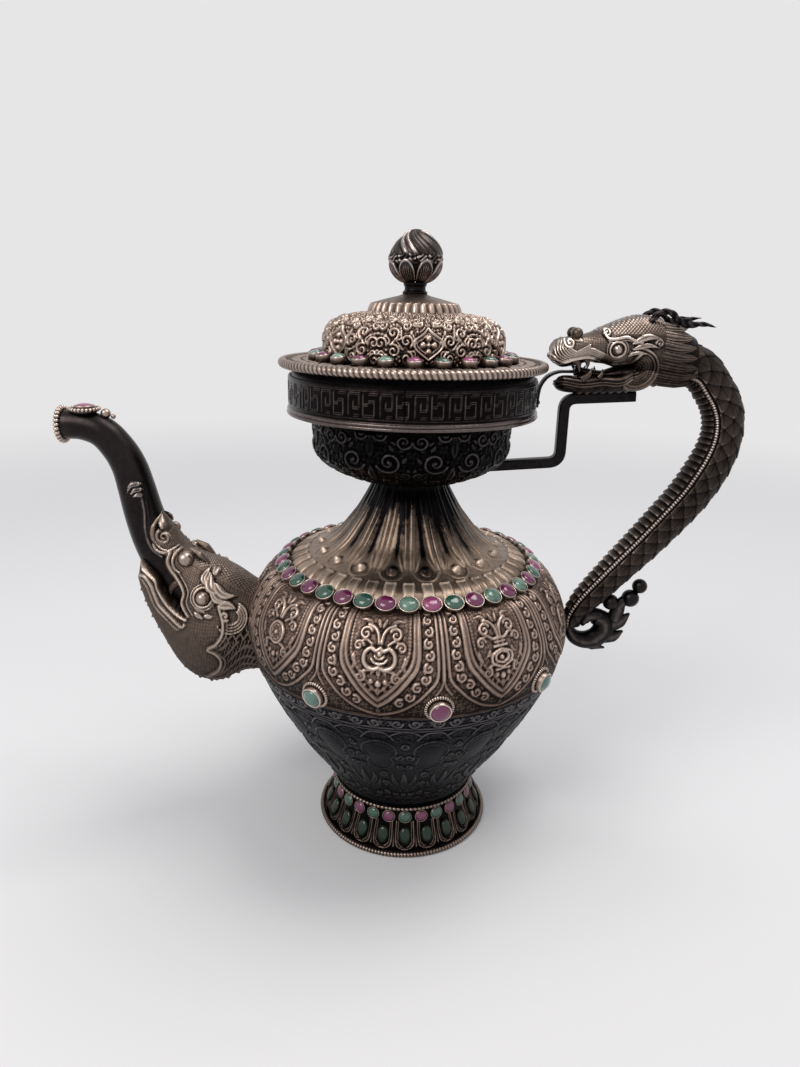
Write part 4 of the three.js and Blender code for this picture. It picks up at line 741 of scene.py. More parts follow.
for middle in (0, 20):
    low_leaf((middle, 43.5), (middle, 61.5), 2.8, 1.2)
    for way in (-1, 1):
        low_leaf((middle + 0.8 * way, 45), (middle + 5.4 * way, 58.6), 2.3, 1.1, -0.16 * way)
        low_leaf((middle + 1.2 * way, 43.5), (middle + 8.0 * way, 52.6), 1.9, 1.0, -0.22 * way)
        low_leaf((middle + 1.0 * way, 41.5), (middle + 7.4 * way, 46.0), 1.5, 0.9, -0.2 * way)
for cx, cy in low_spirals(((10.0, 57.4, 2.9, 90, 1), (10.0, 48.8, 2.5, -90, -1), (4.4, 37.4, 2.2, 20, -1),
                           (10.0, 39.4, 2.3, 200, 1), (15.6, 37.4, 2.2, 160, 1), (0.2, 37.0, 1.8, 200, 1)),
                          1.5, 0.85, 1.1):
    button(relief, side, y, cx, cy, 0.8, 1.0)
for k in range(3):
    cx = (k + 0.5) * panel / 6 * degree
    stroke(relief, side, y, through([(cx - 4.2, up_at(29.6)), (cx - 3.4, up_at(32.4)), (cx, up_at(33.8)),
                                     (cx + 3.4, up_at(32.4)), (cx + 4.2, up_at(29.6))], 0.7), 0.6, 0.8)
for z, half in ((29.0, 0.7), (27.2, 0.9), (24.8, 1.2)):
    stroke(relief, x, y, [(-30, up_at(z)), (30, up_at(z))], half, 0.7)
relief = np.maximum(relief, ruled)
relief = np.where(inside < 0.95, relief, chased(relief, x, y, 0.4, 3.0))
wear_and_painted_light = wear_of(relief, 1.1, 0.34, 0.12)
# Each lobe and each leaf spray swells out of the wall as a whole: 0.8 times a squared sine or cosine of
# the place along the belly, a lobe's swell greatest at a height of 76, a spray's at 54.
lobe_turn = np.pi * x / (panel / 2 * degree)
lobes = np.interp(y, up_at(np.array([34, 54, 76, 86.2])), (0, 0, 1, 0.45)) * np.sin(lobe_turn) ** 2
sprays = np.interp(y, up_at(np.array([34, 54, 76])), (0, 1, 0)) * np.cos(lobe_turn) ** 2
relief = 0.75 * relief + 0.8 * (lobes + sprays)
relief, wear_and_painted_light = around([relief]), around([wear_and_painted_light])
piece("belly_lower", [shell_of(line, relief, belly_wall, 18, wear_and_painted_light, 810)], patina_and_painted_shade_silver, "vessel",
      ["body_lower"], "silver")

# Neck: a raised trumpet of oxidised silver. Eighteen smooth channels run down it and open into drops,
# each round a pointed knob; two round flutes stand between channels; below, a ring of upright tabs meets
# the stones.
neck_low, neck_tall, neck_foot, neck_top = 143.2, 43.9, 60.6, 17.5
neck_line = through([(neck_top + (neck_foot - neck_top) * s, neck_low + neck_tall * u) for s, u in
                     ((1, 0), (0.893, 0.114), (0.754, 0.169), (0.626, 0.219), (0.545, 0.264), (0.39, 0.383),
                      (0.239, 0.565), (0.158, 0.679), (0.03, 0.907), (0, 1))], 0.6)
neck_count, channel_turn, tab_turn = 720, 20, 9   # columns, and the degrees to each channel and to each tab
channel_half, knob_size = 1.1, 3.1                # half a channel's width, and the height of a knob
turn = np.arange(neck_count) * 360 / neck_count
step = turn % channel_turn - channel_turn / 2     # degrees from the nearest channel
out, up = neck_line[:, :1], neck_line[:, 1:]      # radius and height of each row, shared by its columns
away = np.abs(step) * np.pi / 180 * out           # millimetres from the channel's own middle
knob_out, drop_half = 43.2, 5.3                   # where each knob stands; half the width of its drop
# A channel widens as the power 1.8 of the way to its knob, from a radius of 30 on. Its hollow is a
# parabola.
half = channel_half + (drop_half - channel_half) * np.clip((out - 30) / (knob_out - 30), 0, 1) ** 1.8
from_knob = np.hypot(away, out - knob_out)
share = np.where(out < knob_out, away / half, from_knob / drop_half)
hollow = -0.85 * np.clip(1 - share**2, 0, 1) * np.clip((187 - up) / 5, 0, 1)
knob = knob_size * np.exp(-((from_knob / 2.15) ** 2.5))
rim = 0.28 * np.sqrt(np.clip(1 - ((share - 1) * half / 0.7) ** 2, 0, 1)) * np.clip((out - 33) / 4, 0, 1)
# Two flutes, half circles in section, fill the wall between channels and run out at a radius of 45.
from_middle = (channel_turn / 2 - np.abs(step)) * np.pi / 180 * out
flute_half = np.clip((np.pi / 18 * out - half) / 2, 0.6, 1.3)
flute = 0.7 * np.sqrt(np.clip(1 - ((from_middle - flute_half) / flute_half) ** 2, 0, 1))
flute = flute * np.clip((45 - out) / 7, 0, 1)
# Forty tabs stand between radii of 49.6 and 58.5, higher at their edges and their upper end.
tab_number = ((turn + tab_turn / 2) // tab_turn).astype(int) % 40
tab_step = np.abs((turn + tab_turn / 2) % tab_turn - tab_turn / 2) * np.pi / 180 * out
tab = np.clip((2.5 - tab_step) / 0.4, 0, 1) * np.clip((out - 49.6) / 0.5, 0, 1)
tab = tab * np.clip((58.5 - out) / 0.5, 0, 1)
tab = tab * (0.55 + 0.35 * np.clip((tab_step - 1.3) / 0.7, 0, 1) + 0.35 * np.clip((51.2 - out) / 0.8, 0, 1))
relief = np.maximum(np.where(share < 1, hollow + knob, flute), np.maximum(rim, tab))
# Painted shade: the neck's tone is lighter on its lower half and darkens to black towards the top, under
# the cup; in the channels the silver has stayed black.
ground_tone = np.interp(up, [156, 164, 172, 181], [0.54, 0.40, 0.25, 0.02])
flute_number = ((turn + 10) // 10).astype(int) % 36
flute_tones = np.random.default_rng(9).uniform(0, 0.2, 36)
ground_tone = ground_tone - flute_tones[flute_number] * np.interp(up, [155, 160], [0, 1])
ground_tone = ground_tone - np.clip(1.15 - share, 0, 1) * np.interp(up, [154.5, 160, 176], [0, 0.42, 0.2])
wear_and_painted_light = ground_tone + 0.34 * np.clip(relief - softened(relief, 10), -0.6, 0.8) + 0.3 * np.clip(knob / 3, 0, 1)
wear_and_painted_light = wear_and_painted_light + tab * np.random.default_rng(5).uniform(-0.1, 0.5, 40)[tab_number]
# The two knobs nearest the front are made black.
black_knob = (np.abs(turn - 180) > 160) * np.exp(-((from_knob / 3.2) ** 4))
wear_and_painted_light = np.clip(wear_and_painted_light, 0, 1) * (1 - 0.92 * black_knob)
neck_silver = silver("neck_silver", (0.004, 0.0035, 0.004), (0.235, 0.172, 0.13), (0.60, 0.48, 0.39),
                     rough=(0.24, 0.52), grain=0.5)
piece("neck", [shell_of(neck_line, relief, 1.3, 14, wear_and_painted_light, neck_count)], neck_silver, "vessel",
      ["neck_shoulder"], "silver")

# Shoulder stones: forty oval cabochons, emerald and ruby in turn, in plain thin-lipped cups that touch
# each other all round the join of neck and belly, each cup soldered to a narrow band.
stone_row("shoulder_stones", row_frames(40, 62.9, 146.6, 56), ["emerald", "ruby"] * 20, 8.3, 7.3, 1.5, 3.6,
          "vessel", ["shoulder_stone_row"], wall=0.5, flare=-0.6)

# Cup: a round bowl over the neck, chased with leaf scrolls and oxidised almost black, glossy where hands
# touch it.
black_silver = silver("black_silver", (0.004, 0.004, 0.005), (0.026, 0.022, 0.022), (0.24, 0.20, 0.185),
                      rough=(0.42, 0.2), grain=0.6)
cup_silver = silver("cup_silver", (0.001, 0.001, 0.0015), (0.006, 0.0055, 0.006), (0.085, 0.074, 0.07),
                    rough=(0.42, 0.24), grain=0.6)
cup_radius, cup_low, cup_tall, cup_wall = 46.6, 187.4, 31.0, 1.3
bowls, per_bowl = 8, 90    # repeats of the scrollwork, and columns to each
cup_line = through([(cup_radius * s, cup_low + cup_tall * u) for s, u in
                    ((0.342, -0.014), (0.395, 0), (0.56, 0.06), (0.74, 0.16), (0.89, 0.29), (0.985, 0.46),
                     (0.996, 0.72), (0.996, 1))], 0.62)
hidden = 0.053 * cup_radius    # the bowl's edge is let in over the neck's top by this much
x, side, y, relief = tile(per_bowl, 42, bowls, length_along(cup_line) - hidden)
for cx, cy, radius, start, hand in ((7.5, 34, 5.2, 200, 1), (6.2, 20.5, 4.2, 30, -1),
                                    (13.5, 27, 3.0, 180, 1), (13.2, 43, 3.2, 0, -1), (4.2, 46, 3.0, 200, 1),
                                    (11.0, 12.5, 2.6, 200, 1)):
    stroke(relief, side, y, curl(cx, cy, radius, start, 1.5, hand), 0.75, 1.0, 0.3)
    button(relief, side, y, cx, cy, 1.0, 1.0)
    for n in range(4):
        ray = np.radians(start + hand * (20 + 70 * n))
        root = (cx, cy) + radius * toward(ray)
        leaf(relief, side, y, root, root + 0.7 * radius * toward(ray + 0.9 * hand), 1.0, 0.9)
for low, high, half, rise in ((22, 33, 2.4, 1.1), (36, 47, 2.0, 1.0), (8, 19, 1.8, 0.9)):
    leaf(relief, side, y, (0, low), (0, high), half, rise)
relief = chased(relief, x, y, 0.6, 3.4) * np.clip((y.max() - y - 1.5) / 2, 0, 1) * (y > 0)
relief = np.concatenate([relief] * bowls, 1)
piece("cup", [shell_of(cup_line, relief, cup_wall, 12, wear_of(relief, 1.1, 0.2, 0.25), per_bowl * bowls)],
      cup_silver, "vessel", ["cup_bowl"], "dark_silver")

# Collar: a straight band on the cup's lip, with a rolled moulding below and a key pattern engraved
# between two lines. Its ends meet in an upright seam at the front.
collar_silver = silver("collar_silver", (0.002, 0.002, 0.002), (0.013, 0.0095, 0.0095),
                       (0.20, 0.165, 0.155), rough=(0.34, 0.2), grain=0.7)
collar_radius, collar_low, collar_top, collar_wall = 57.9, 218.7, 236.2, 1.2
collar_inner = collar_radius - collar_wall
def roll_of(radius, height, wide, tall, first):
    """Seven points round the outside of a rolled moulding, above the collar's lower edge."""
    turn = np.linspace(first, 1.5, 7)
    return np.stack([radius + wide * np.cos(turn), collar_low + height + tall * np.sin(turn)], 1)

band = np.linspace(collar_low + 3.6, collar_top - 0.5, 58)
collar_line = np.vstack([[(45.4, collar_low + collar_wall), (45.4, collar_low), (57.4, collar_low)],
                         roll_of(collar_radius + 0.35, 0.75, 0.65, 0.75, -1.5),
                         roll_of(collar_radius + 0.2, 2.25, 0.6, 0.65, -1.4),
                         np.stack([collar_radius + 0 * band, band], 1),
                         [(collar_radius - 0.2, collar_top), (collar_inner + 0.2, collar_top),
                          (collar_inner, collar_top - 0.4), (collar_inner, collar_low + collar_wall)]])
# One repeat of the key pattern: double lines along each route, between one line below and two above.
keys, per_key, roll_top = 26, 44, 3.9
pitch = 2 * np.pi * collar_radius / keys
x, y = np.meshgrid(np.arange(per_key) / per_key * pitch, collar_line[:, 1] - collar_low)
cut = np.zeros(x.shape)
for shift in (0, -pitch, pitch):
    for route in (((0.4, 5.4), (0.4, 14.2), (5.2, 14.2), (5.2, 8.4), (2.6, 8.4)),
                  ((7.0, 14.2), (7.0, 5.4), (11.8, 5.4), (11.8, 11.2), (9.2, 11.2)),
                  ((7.0, 9.8), (9.2, 9.8)), ((2.8, 5.4), (5.0, 5.4)),
                  ((9.4, 14.2), (13.2, 14.2)), ((2.6, 11.2), (2.6, 8.4))):
        for gap in (0.0, 0.75):
            stroke(cut, x, y, np.array(route) + (shift + 0.5 * gap, gap), 0.22, 0.34)
for line_height in (4.4, 15.7, 16.3):
    stroke(cut, x, y, [(-1, line_height), (20, line_height)], 0.2, 0.3)
row = np.arange(len(collar_line))[:, None]
cut *= (y > roll_top) & (row > 16) & (row < len(collar_line) - 4)    # on the straight band's outside only
lines, height = np.concatenate([cut] * keys, 1), np.concatenate([y] * keys, 1)
seam_turn = 360 - 3.5    # degrees round from the front
seam = np.abs(np.arange(lines.shape[1]) * 360 / lines.shape[1] - seam_turn) * np.pi / 180 * collar_radius
seam_cut = 0.4 * (seam < 0.35) * (height > roll_top)
# The rolled moulding at the foot of the band is made 0.55 brighter: a painted highlight.
tone = np.clip(0.22 + 1.3 * lines - 0.6 * seam_cut + 0.55 * (height < 3.3), 0, 1)
collar = lifted(turned(collar_line, keys * per_key), 0.8 * lines - seam_cut, True)
piece("collar", [(collar, tone, False)], collar_silver, "vessel", ["collar_band"], "dark_silver")

# Bosses: six round stones in tall thick cups round the belly, each with a heavy reeded wire about its
# foot. Three stand on the near side and three on the far side; two stones are ruby, four pale green.
boss_turns, boss_wide = (-30, 10, 50, 130, 170, 210), 8.2
boss_out = (0, 0, 3.9)    # how far cups and stones stand out from the wall
frames = [np.concatenate([row_frames(1, 78.4, 105.9, -11, t)[k] for t in boss_turns]) for k in range(4)]
wire, wire_tone = wire_ring(5.7, 0.75, 1.0, 34, 0.3, per_bead=4, sides=8)
cup_tone = np.array([0.4, 0.6, 1.0, 1.0, 0.8, 0.55, 0.3])[:, None]
cups = placed(bezel_shape(boss_wide, boss_wide, 0.75, 4.4, 0.0, 36) + boss_out, *frames)
boss_parts = [(g, cup_tone, False) for g in cups] + [(g, wire_tone, False) for g in placed(wire, *frames)]
piece("boss_settings", boss_parts, wire_silver, "vessel", [f"boss_bezel_{k}" for k in range(1, 7)], "wire")
dome = stone_shape(boss_wide, boss_wide, 1.7, 3.0, 2.2, 8, 36) + boss_out
pale_green = gem("pale_green", (0.045, 0.115, 0.088), (0.25, 0.41, 0.33), 200.0)
for kind, finish, shade, chosen in (("ruby", ruby, 0.5, [1, 4]),
                                    ("emerald", pale_green, 0.68, [0, 2, 3, 5])):
    stones = placed(dome, *[f[chosen] for f in frames])
    piece("boss_" + kind, [(g, shade, True) for g in stones], finish, "vessel",
          [f"boss_stone_{k + 1}" for k in chosen], kind)

# Lid: a wide flange with a heavy slanting reeded wire, a plug that drops into the collar, a ring of
# twenty-four stones, a cushion-shaped dome worked in high relief, a ribbed cap, and a bud on a short
# stem. It lifts off whole.
lid_silver = silver("lid_silver", (0.012, 0.009, 0.008), (0.122, 0.083, 0.065), (0.50, 0.40, 0.34))
plug_line = np.array([(55.1, 220.2), (56.3, 220.2), (56.3, 241.3), (55.1, 241.3)])
piece("lid_plug", [(turned(plug_line, 120), 0.25, False)], black_silver, "lid", ["lid_plug"], "dark_silver")

flange_top, flange_under, flange_in, flange_out = 242.8, 241.6, 37.8, 57.9
worked = np.stack([np.linspace(41.5, flange_out, 42), np.full(42, flange_top)], 1)
flange_line = np.vstack([[(flange_in, flange_top)], worked,
                         [(flange_out, flange_under), (flange_in, flange_under)]])
x, side, y, relief = tile(30, 53, 30, flange_line[:, 0])
stroke(relief, side, y, curl(2.7, 54.5, 2.1, 200, 1.3, 1), 0.5, 0.45)
stroke(relief, side, y, curl(3.3, 50.0, 1.8, 20, 1.3, -1), 0.45, 0.4)
leaf(relief, x, y, (0, 51), (0, 56.6), 1.0, 0.45)
leaf(relief, side, y, (5.2, 52), (5.0, 56.8), 0.8, 0.4)
relief[[0, -2, -1]] = 0
relief = np.concatenate([relief] * 30, 1)
flange = lifted(turned(flange_line, 900), relief, True)
piece("lid_flange", [(flange, wear_of(relief, 0.5, 0.3), False)], lid_silver, "lid", ["lid_flange"],
      "silver")
rim, rim_wear = wire_ring(60.3, 241.6, 2.1, 150, 0.5, 0.9, 14, 6)
piece("lid_rim", [(rim, 0.8 * rim_wear, False)], wire_silver, "lid", ["lid_rim_wire"], "wire")
stone_row("lid_stones", row_frames(24, 45.6, 246.2, 82), ["ruby", "emerald"] * 12, 5.9, 5.9, 1.2, 3.0,
          "lid", ["lid_stone_row"], wall=0.45, flare=0.5)

# The dome's six repeats: an outlined bud of beads, then scrolls with a loose outer end and small leaves.
dome_radius, dome_low, dome_tall = 40.7, 243.1, 20.4
dome_line = through([(dome_radius * s, dome_low + dome_tall * u) for s, u in
                     ((0.93, 0), (0.985, 0.1), (1, 0.26), (0.99, 0.55), (0.94, 0.72), (0.87, 0.82),
                      (0.7, 0.95), (0.5, 1))], 0.43)
x, side, y, relief = tile(130, 40, 6, length_along(dome_line))
outer_bud = through([(0, 4.2), (2.2, 5.8), (5.2, 8.6), (5.6, 11.4), (3.2, 13.2), (1.6, 14.4), (0, 16.4)],
                    0.5)
inner_bud = through([(0, 5.8), (1.6, 7.0), (4.2, 9.2), (4.4, 11.0), (2.4, 12.2), (0, 14.4)], 0.5)
stroke(relief, side, y, outer_bud, 0.6, 1.8)
stroke(relief, side, y, inner_bud, 0.35, 1.3)
for cx, cy, radius in ((0, 7.4, 1.4), (0, 12.4, 1.4), (2.3, 9.9, 1.5), (0, 9.9, 1.1)):
    button(relief, side, y, cx, cy, radius, 1.9)
for cx, cy, radius, start, turns, hand in (
        (8.6, 4.6, 2.7, 100, 1.4, 1), (8.8, 11.2, 2.6, 230, 1.4, -1), (9.2, 17.4, 2.4, 40, 1.4, 1),
        (14.0, 7.4, 2.7, 60, 1.4, 1), (14.4, 14.2, 2.6, 250, 1.3, -1), (19.6, 3.8, 2.3, 60, 1.3, 1),
        (19.4, 10.2, 2.6, 200, 1.3, -1), (19.6, 17.0, 2.4, 20, 1.3, 1), (4.4, 20.6, 2.3, 200, 1.3, 1),
        (11.2, 23.0, 2.2, 20, 1.3, -1), (17.2, 23.4, 2.2, 200, 1.3, 1), (13.6, 1.8, 1.4, 60, 1.1, -1)):
    stroke(relief, side, y, curl(cx, cy, radius, start, turns, hand), 0.62, 1.75, 0.25)
    ends = np.radians([start, start + 40 * hand, start + 95 * hand])
    loose = radius * np.array([1, 1.5, 1.35]) * toward(ends)
    stroke(relief, side, y, through(loose.T + (cx, cy), 0.5), 0.55, 1.5, 0.4)
    for n in range(3):
        ray = np.radians(start + hand * (100 + 80 * n))
        root = (cx, cy) + (radius + 0.3) * toward(ray)
        leaf(relief, side, y, root, root + 1.8 * toward(ray + 0.8 * hand), 0.7, 1.3)
# Thin loops like worms fill what is left between the scrolls.
relief = chased(relief, x, y, 1.1, 3.1)
relief *= np.clip(y / 1.5, 0, 1)
relief = around([relief], 8, 6)
piece("lid_dome", [shell_of(dome_line, relief, 1.2, 16, wear_of(relief, 1.6, 0.3), 780)], lid_silver, "lid",
      ["lid_dome"], "silver")

# The cap: thirty-four ribs round its upright wall, then a plain cone up to the finial's black stem.
cap_line = np.vstack([[(0.4, 263.8), (20.2, 263.8)],
                      through([(20.8, 264.0), (20.2, 266.0), (19.1, 267.9)], 0.25),
                      through([(18.3, 268.6), (12.0, 270.3), (7.4, 271.4), (5.4, 272.2)], 1.2),
                      [(0.4, 272.2)]])
ribs, per_rib = 34, 16
swell = np.abs(np.cos(np.pi * np.arange(ribs * per_rib) / per_rib)) ** 1.5
wall = ((cap_line[:, 0] > 18.9) & (cap_line[:, 1] > 263.9))[:, None]
relief = wall * 0.9 * swell * np.clip((268.3 - cap_line[:, 1:]) / 0.6, 0, 1)
cap = lifted(turned(cap_line, ribs * per_rib), relief)
piece("lid_cap", [(cap, np.where(wall, 0.38 + 0.62 * swell, 0.6), False)], lid_silver, "lid", ["lid_cap"],
      "silver")
stem_side = through([(5.6, 272.4), (5.7, 273.0), (4.9, 273.8), (4.8, 275.2), (5.3, 276.2), (5.3, 277.0)],
                    0.3)
stem_line = np.vstack([[(0.3, 270.0), (5.0, 270.0)], stem_side, [(0.3, 277.2)]])
piece("finial_stem", [(turned(stem_line, 64), 0.25, False)], black_silver, "lid", ["finial_stem"],
      "dark_silver")

# Bud finial: like a half-shut flower. Three beaded straps wind round its upper half with leaves between
# them, eight outlined upright leaves with a ribbed fan inside hold its lower half, and small curls cover
# the join.
bud_radius, bud_low, bud_tall, bud_count = 11.4, 277.7, 22.0, 360
straps, low_leaves = 3, 8
bud_line = through([(bud_radius * s + 0.02, bud_low + bud_tall * u) for s, u in
                    ((0, 0), (0.42, 0.01), (0.72, 0.09), (0.93, 0.23), (1, 0.4), (0.96, 0.55), (0.8, 0.7),
                     (0.56, 0.82), (0.27, 0.92), (0.09, 0.975), (0.0, 1))], 0.34)
bud_run = length_along(bud_line)
turn, up = np.meshgrid(np.arange(bud_count) / bud_count * 2 * np.pi, bud_run / bud_run[-1])
# `wound` counts from 0 to 1 from one strap's gap to the next: the place in the turn plus 1.1 times the
# height.
wound = (straps * turn / (2 * np.pi) + 1.1 * up) % 1
strap = np.exp(-(((wound - 0.5) / 0.15) ** 4)) * (0.8 - 0.3 * np.cos((wound - 0.5) * 2 * np.pi / 0.2))
petal = np.minimum(wound, 1 - wound) / 0.38
midrib = 0.3 * np.exp(-(((petal - 0.45) / 0.06) ** 2))
leafy = np.sqrt(np.clip(1 - (petal - 0.45) ** 2 / 0.2, 0, 1)) * (0.75 - midrib)
upper = np.clip((up - 0.5) / 0.05, 0, 1) * np.maximum(1.1 * strap, 0.7 * leafy)
stand = (low_leaves * turn / (2 * np.pi)) % 1 - 0.5
edge = np.hypot(stand / 0.5, (up - 0.22) / 0.27)
low_leaf_rise = np.clip((1.02 - edge) / 0.08, 0, 1) * (0.6 + 0.4 * np.exp(-(((edge - 0.88) / 0.08) ** 2)))
fan = 0.22 * np.cos(2 * np.pi * stand * 9) * np.clip((0.72 - edge) / 0.1, 0, 1)
curls = 0.9 * np.clip(1 - ((up - 0.49) / 0.085) ** 2, 0, 1) * seeded(turn * 11, up * 44, 4.3)
relief = np.maximum(np.maximum(upper, (low_leaf_rise + fan) * (up < 0.5)), curls)
relief = 1.15 * relief * np.clip((1 - up) / 0.1, 0, 1) * np.clip(up / 0.08, 0, 1)
bud_silver = silver("bud_silver", (0.006, 0.005, 0.005), (0.070, 0.055, 0.050), (0.52, 0.46, 0.43),
                    rough=(0.4, 0.2))
bud = lifted(turned(bud_line, bud_count), relief)
piece("finial_bud", [(bud, wear_of(relief, 1.1, 0.16), True)], bud_silver, "lid", ["finial_bud"], "silver")

# Spout: an elephant-like trunk drawn as a plain smooth tube, its mouth bound with a beaded ring. On top a
# ruby sits on a beaded disc with one ball behind it. A ridge and a curled leaf run down each side to the
# head.
trunk_silver = silver("trunk_silver", (0.008, 0.007, 0.008), (0.036, 0.029, 0.028), (0.48, 0.42, 0.39),
                      rough=(0.38, 0.2), grain=0.35)
spout_points = [(-109.5, 117.5), (-113.5, 124.5), (-118.0, 132.0), (-124.0, 143.0), (-128.5, 154.5),
                (-131.9, 166.8), (-134.4, 179.0), (-137.0, 189.5), (-141.5, 198.3), (-148.5, 206.0),
                (-158.0, 209.2), (-168.0, 209.4)]
spout_sizes = 10.3 * np.array([0.9, 0.95, 1, 1, 0.97, 0.91, 0.86, 0.81, 0.77, 0.74, 0.69, 0.68])

def oval(sides, power=1.0):
    """A cosine and a sine once round, each to a power: below 1 it squares the oval they draw."""
    turn = np.linspace(0, 2 * np.pi, sides, endpoint=False)
    return [np.sign(v) * np.abs(v) ** power for v in (np.cos(turn), np.sin(turn))]

def swept(line, high, wide, sides, power=1.0):
    """An oval carried along a line of (x, height) in the middle plane: columns start towards -Y and go by
    the side on which the line's left hand lies."""
    ahead = np.gradient(line, axis=0)
    ahead /= np.linalg.norm(ahead, axis=1, keepdims=True)
    c, s = oval(sides, power)
    high, wide = [v if np.ndim(v) == 2 else np.broadcast_to(v, len(line))[:, None] for v in (high, wide)]
    across, up = -ahead[:, 1:] * high * s, ahead[:, :1] * high * s
    return np.stack([line[:, :1] + across, -wide * c, line[:, 1:] + up], -1)

def sized(line, points, sizes):
    """Sizes given at the points, spread evenly along the line that was drawn through them."""
    marks = length_along(np.asarray(points, float))
    run = length_along(line)
    return np.interp(run / run[-1], marks / marks[-1], sizes)

def seen_from_side(grid):
    """A grid's places in the side view, where both flanks fall together, and an empty relief."""
    return grid[..., 0], grid[..., 2], np.zeros(grid.shape[:2])

spout_line = through(spout_points, 0.55)
radii = sized(spout_line, spout_points, spout_sizes)
spout_sides, spout_wall = 128, 1.3
tube = swept(spout_line, radii, radii, spout_sides)
x, y, relief = seen_from_side(tube)
stroke(relief, x, y, through([(-129.9, 178), (-128.6, 168.5), (-128.4, 159), (-126.0, 151),
                              (-121.5, 146.5)], 1),
       0.8, 0.75)
stroke(relief, x, y, through([(-127.6, 174), (-126.8, 166), (-126.6, 158), (-124.2, 151.5)], 1), 0.45, 0.4)
for start, end, bend in (((-135.9, 178.4), (-129.2, 182.2), -0.28),
                         ((-134.4, 177.6), (-128.9, 179.6), -0.2),
                         ((-133.2, 176.6), (-129.0, 177.2), -0.1)):
    leaf(relief, x, y, end, start, 1.3, 1.3, bend)
relief *= np.abs(tube[..., 1]) > 2.5
tone = 0.28 + 0.75 * np.clip(relief - softened(relief, 6), 0, 1) + 0.3 * np.clip(relief / 1.3, 0, 1)
tone = np.clip(tone + 0.35 * np.clip((x + 160) / -12, 0, 1), 0, 1)    # brighter towards the mouth
bore = radii - spout_wall
inner = swept(spout_line, bore, bore, spout_sides)[::-1][::8]
tube = np.concatenate([lifted(tube, relief), inner])
tone = np.vstack([tone, np.full((len(inner), spout_sides), 0.1)])
piece("spout_tube", [(tube, tone, False)], trunk_silver, "vessel", ["spout_tube"], "silver")

def beaded(radius, thick, beads, per_bead=6):
    """A ring of round beads lying flat about the origin, for `placed`."""
    return wire_ring(radius, 0, thick, beads, 0.62 * thick, 0, 10, per_bead)

def set_at(grid, place, side, up):
    """One grid set at a place, its own third direction square to `side` and `up`."""
    side, up = np.array([side], float), np.array([up], float)
    return placed(grid, np.array([place], float), side, up, np.cross(side, up))[0]

mouth_frame = ((-167.0, 0, 209.4), (0, 1, 0), (0, 0, 1))
ring, ring_tone = beaded(7.7, 1.5, 26)
lip = turned(np.array([(6.1, -1.1), (7.0, -1.1), (7.0, 1.3), (6.1, 1.3)]), 60)
mouth_parts = [(set_at(grid, *mouth_frame), tone, False) for grid, tone in ((ring, ring_tone), (lip, 0.5))]
piece("spout_mouth", mouth_parts, wire_silver, "vessel", ["spout_mouth_ring"], "wire")
disc_frame, stone_wide, stone_up = ((-156.1, 0, 217.0), (1, 0, 0), (0, 1, 0)), 8.4, (0, 0, 1.5)
ring, ring_tone = beaded(6.6, 0.95, 24)
plate = turned(np.array([(0.2, -2.2), (5.2, -2.0), (6.6, -0.9), (6.2, 0.4), (5.0, 0.8), (0.2, 0.8)]), 60)
cup = bezel_shape(stone_wide, stone_wide, 0.5, 1.6, 0.3, 32) + stone_up
stone = stone_shape(stone_wide, stone_wide, 1.1, 1.0, 2.4, 8, 32) + stone_up
disc_parts = [(set_at(grid, *disc_frame), tone, False)
              for grid, tone in ((ring, ring_tone), (plate, 0.35), (cup, bezel_wear))]
piece("spout_disc", disc_parts, wire_silver, "vessel", ["spout_disc"], "wire")
piece("spout_stone", [(set_at(stone, *disc_frame), 0.85, True)], ruby, "vessel", ["spout_stone"], "ruby")

def ball(place, radius, tone=0.75):
    """A soldered grain: a sphere."""
    face = np.radians(np.linspace(-86, 86, 15))
    return [(turned(radius * toward(face).T, 28) + place, tone, True)]

piece("spout_ball", ball((-146.1, 0, 214.9), 2.4) + ball((-142.6, 0, 213.6), 1.2), wire_silver, "vessel",
      ["spout_ball"], "wire")

# Water monster's head at the spout's root: a hollow raised form, skin finely punched, mouth open on both
# sides, with a beaded eye, striped ear curls, brow leaves, scales under the chin, a plume and two round
# nostrils.
def evened(table, step, sections):
    """Rows of numbers drawn smoothly through the table's rows, at even distances; and the distance they
    cover."""
    spread = through(table, step)
    run = length_along(spread)
    even = np.linspace(0, run[-1], sections)
    return np.stack([np.interp(even, run, column) for column in spread.T], 1), run[-1]

# Sections from the root to the throat: place, lean in degrees, half height and half width.
sections, sides = 190, 350
head_long, head_across = 65, 43
head_high = head_long * np.array([0.338, 0.369, 0.478, 0.483, 0.372, 0.281, 0.206])
head_wide = head_across * np.array([0.395, 0.44, 0.5, 0.47, 0.39, 0.32, 0.255])
head_places = [(-71.0, 106.0), (-80.5, 106.7), (-93.5, 107.4), (-107.0, 113.6), (-118.2, 126.7),
               (-125.2, 141.5), (-128.7, 155.2)]
head_lean = [0, 8, 10, 13, 20, 32, 41]
table, head_run = evened(np.column_stack([head_places, head_lean, head_high, head_wide]), 0.35, sections)
middle_x, middle_z, lean, high, wide = [column[:, None] for column in table.T]
lean = np.radians(lean)
turn = np.linspace(0, 2 * np.pi, sides, endpoint=False)
c, s = oval(sides, 0.9)
skin = np.stack([middle_x + high * s * np.sin(lean), -wide * c, middle_z + high * s * np.cos(lean)], -1)
x, y, relief = seen_from_side(skin)
flank = np.clip((np.abs(skin[..., 1]) - 5) / 3, 0, 1)    # side features fade towards the middle plane

def ring_points(cx, cy, radius, first=0, last=360):
    """Points on part of a circle."""
    return radius * toward(np.radians(np.linspace(first, last, 40))).T + (cx, cy)

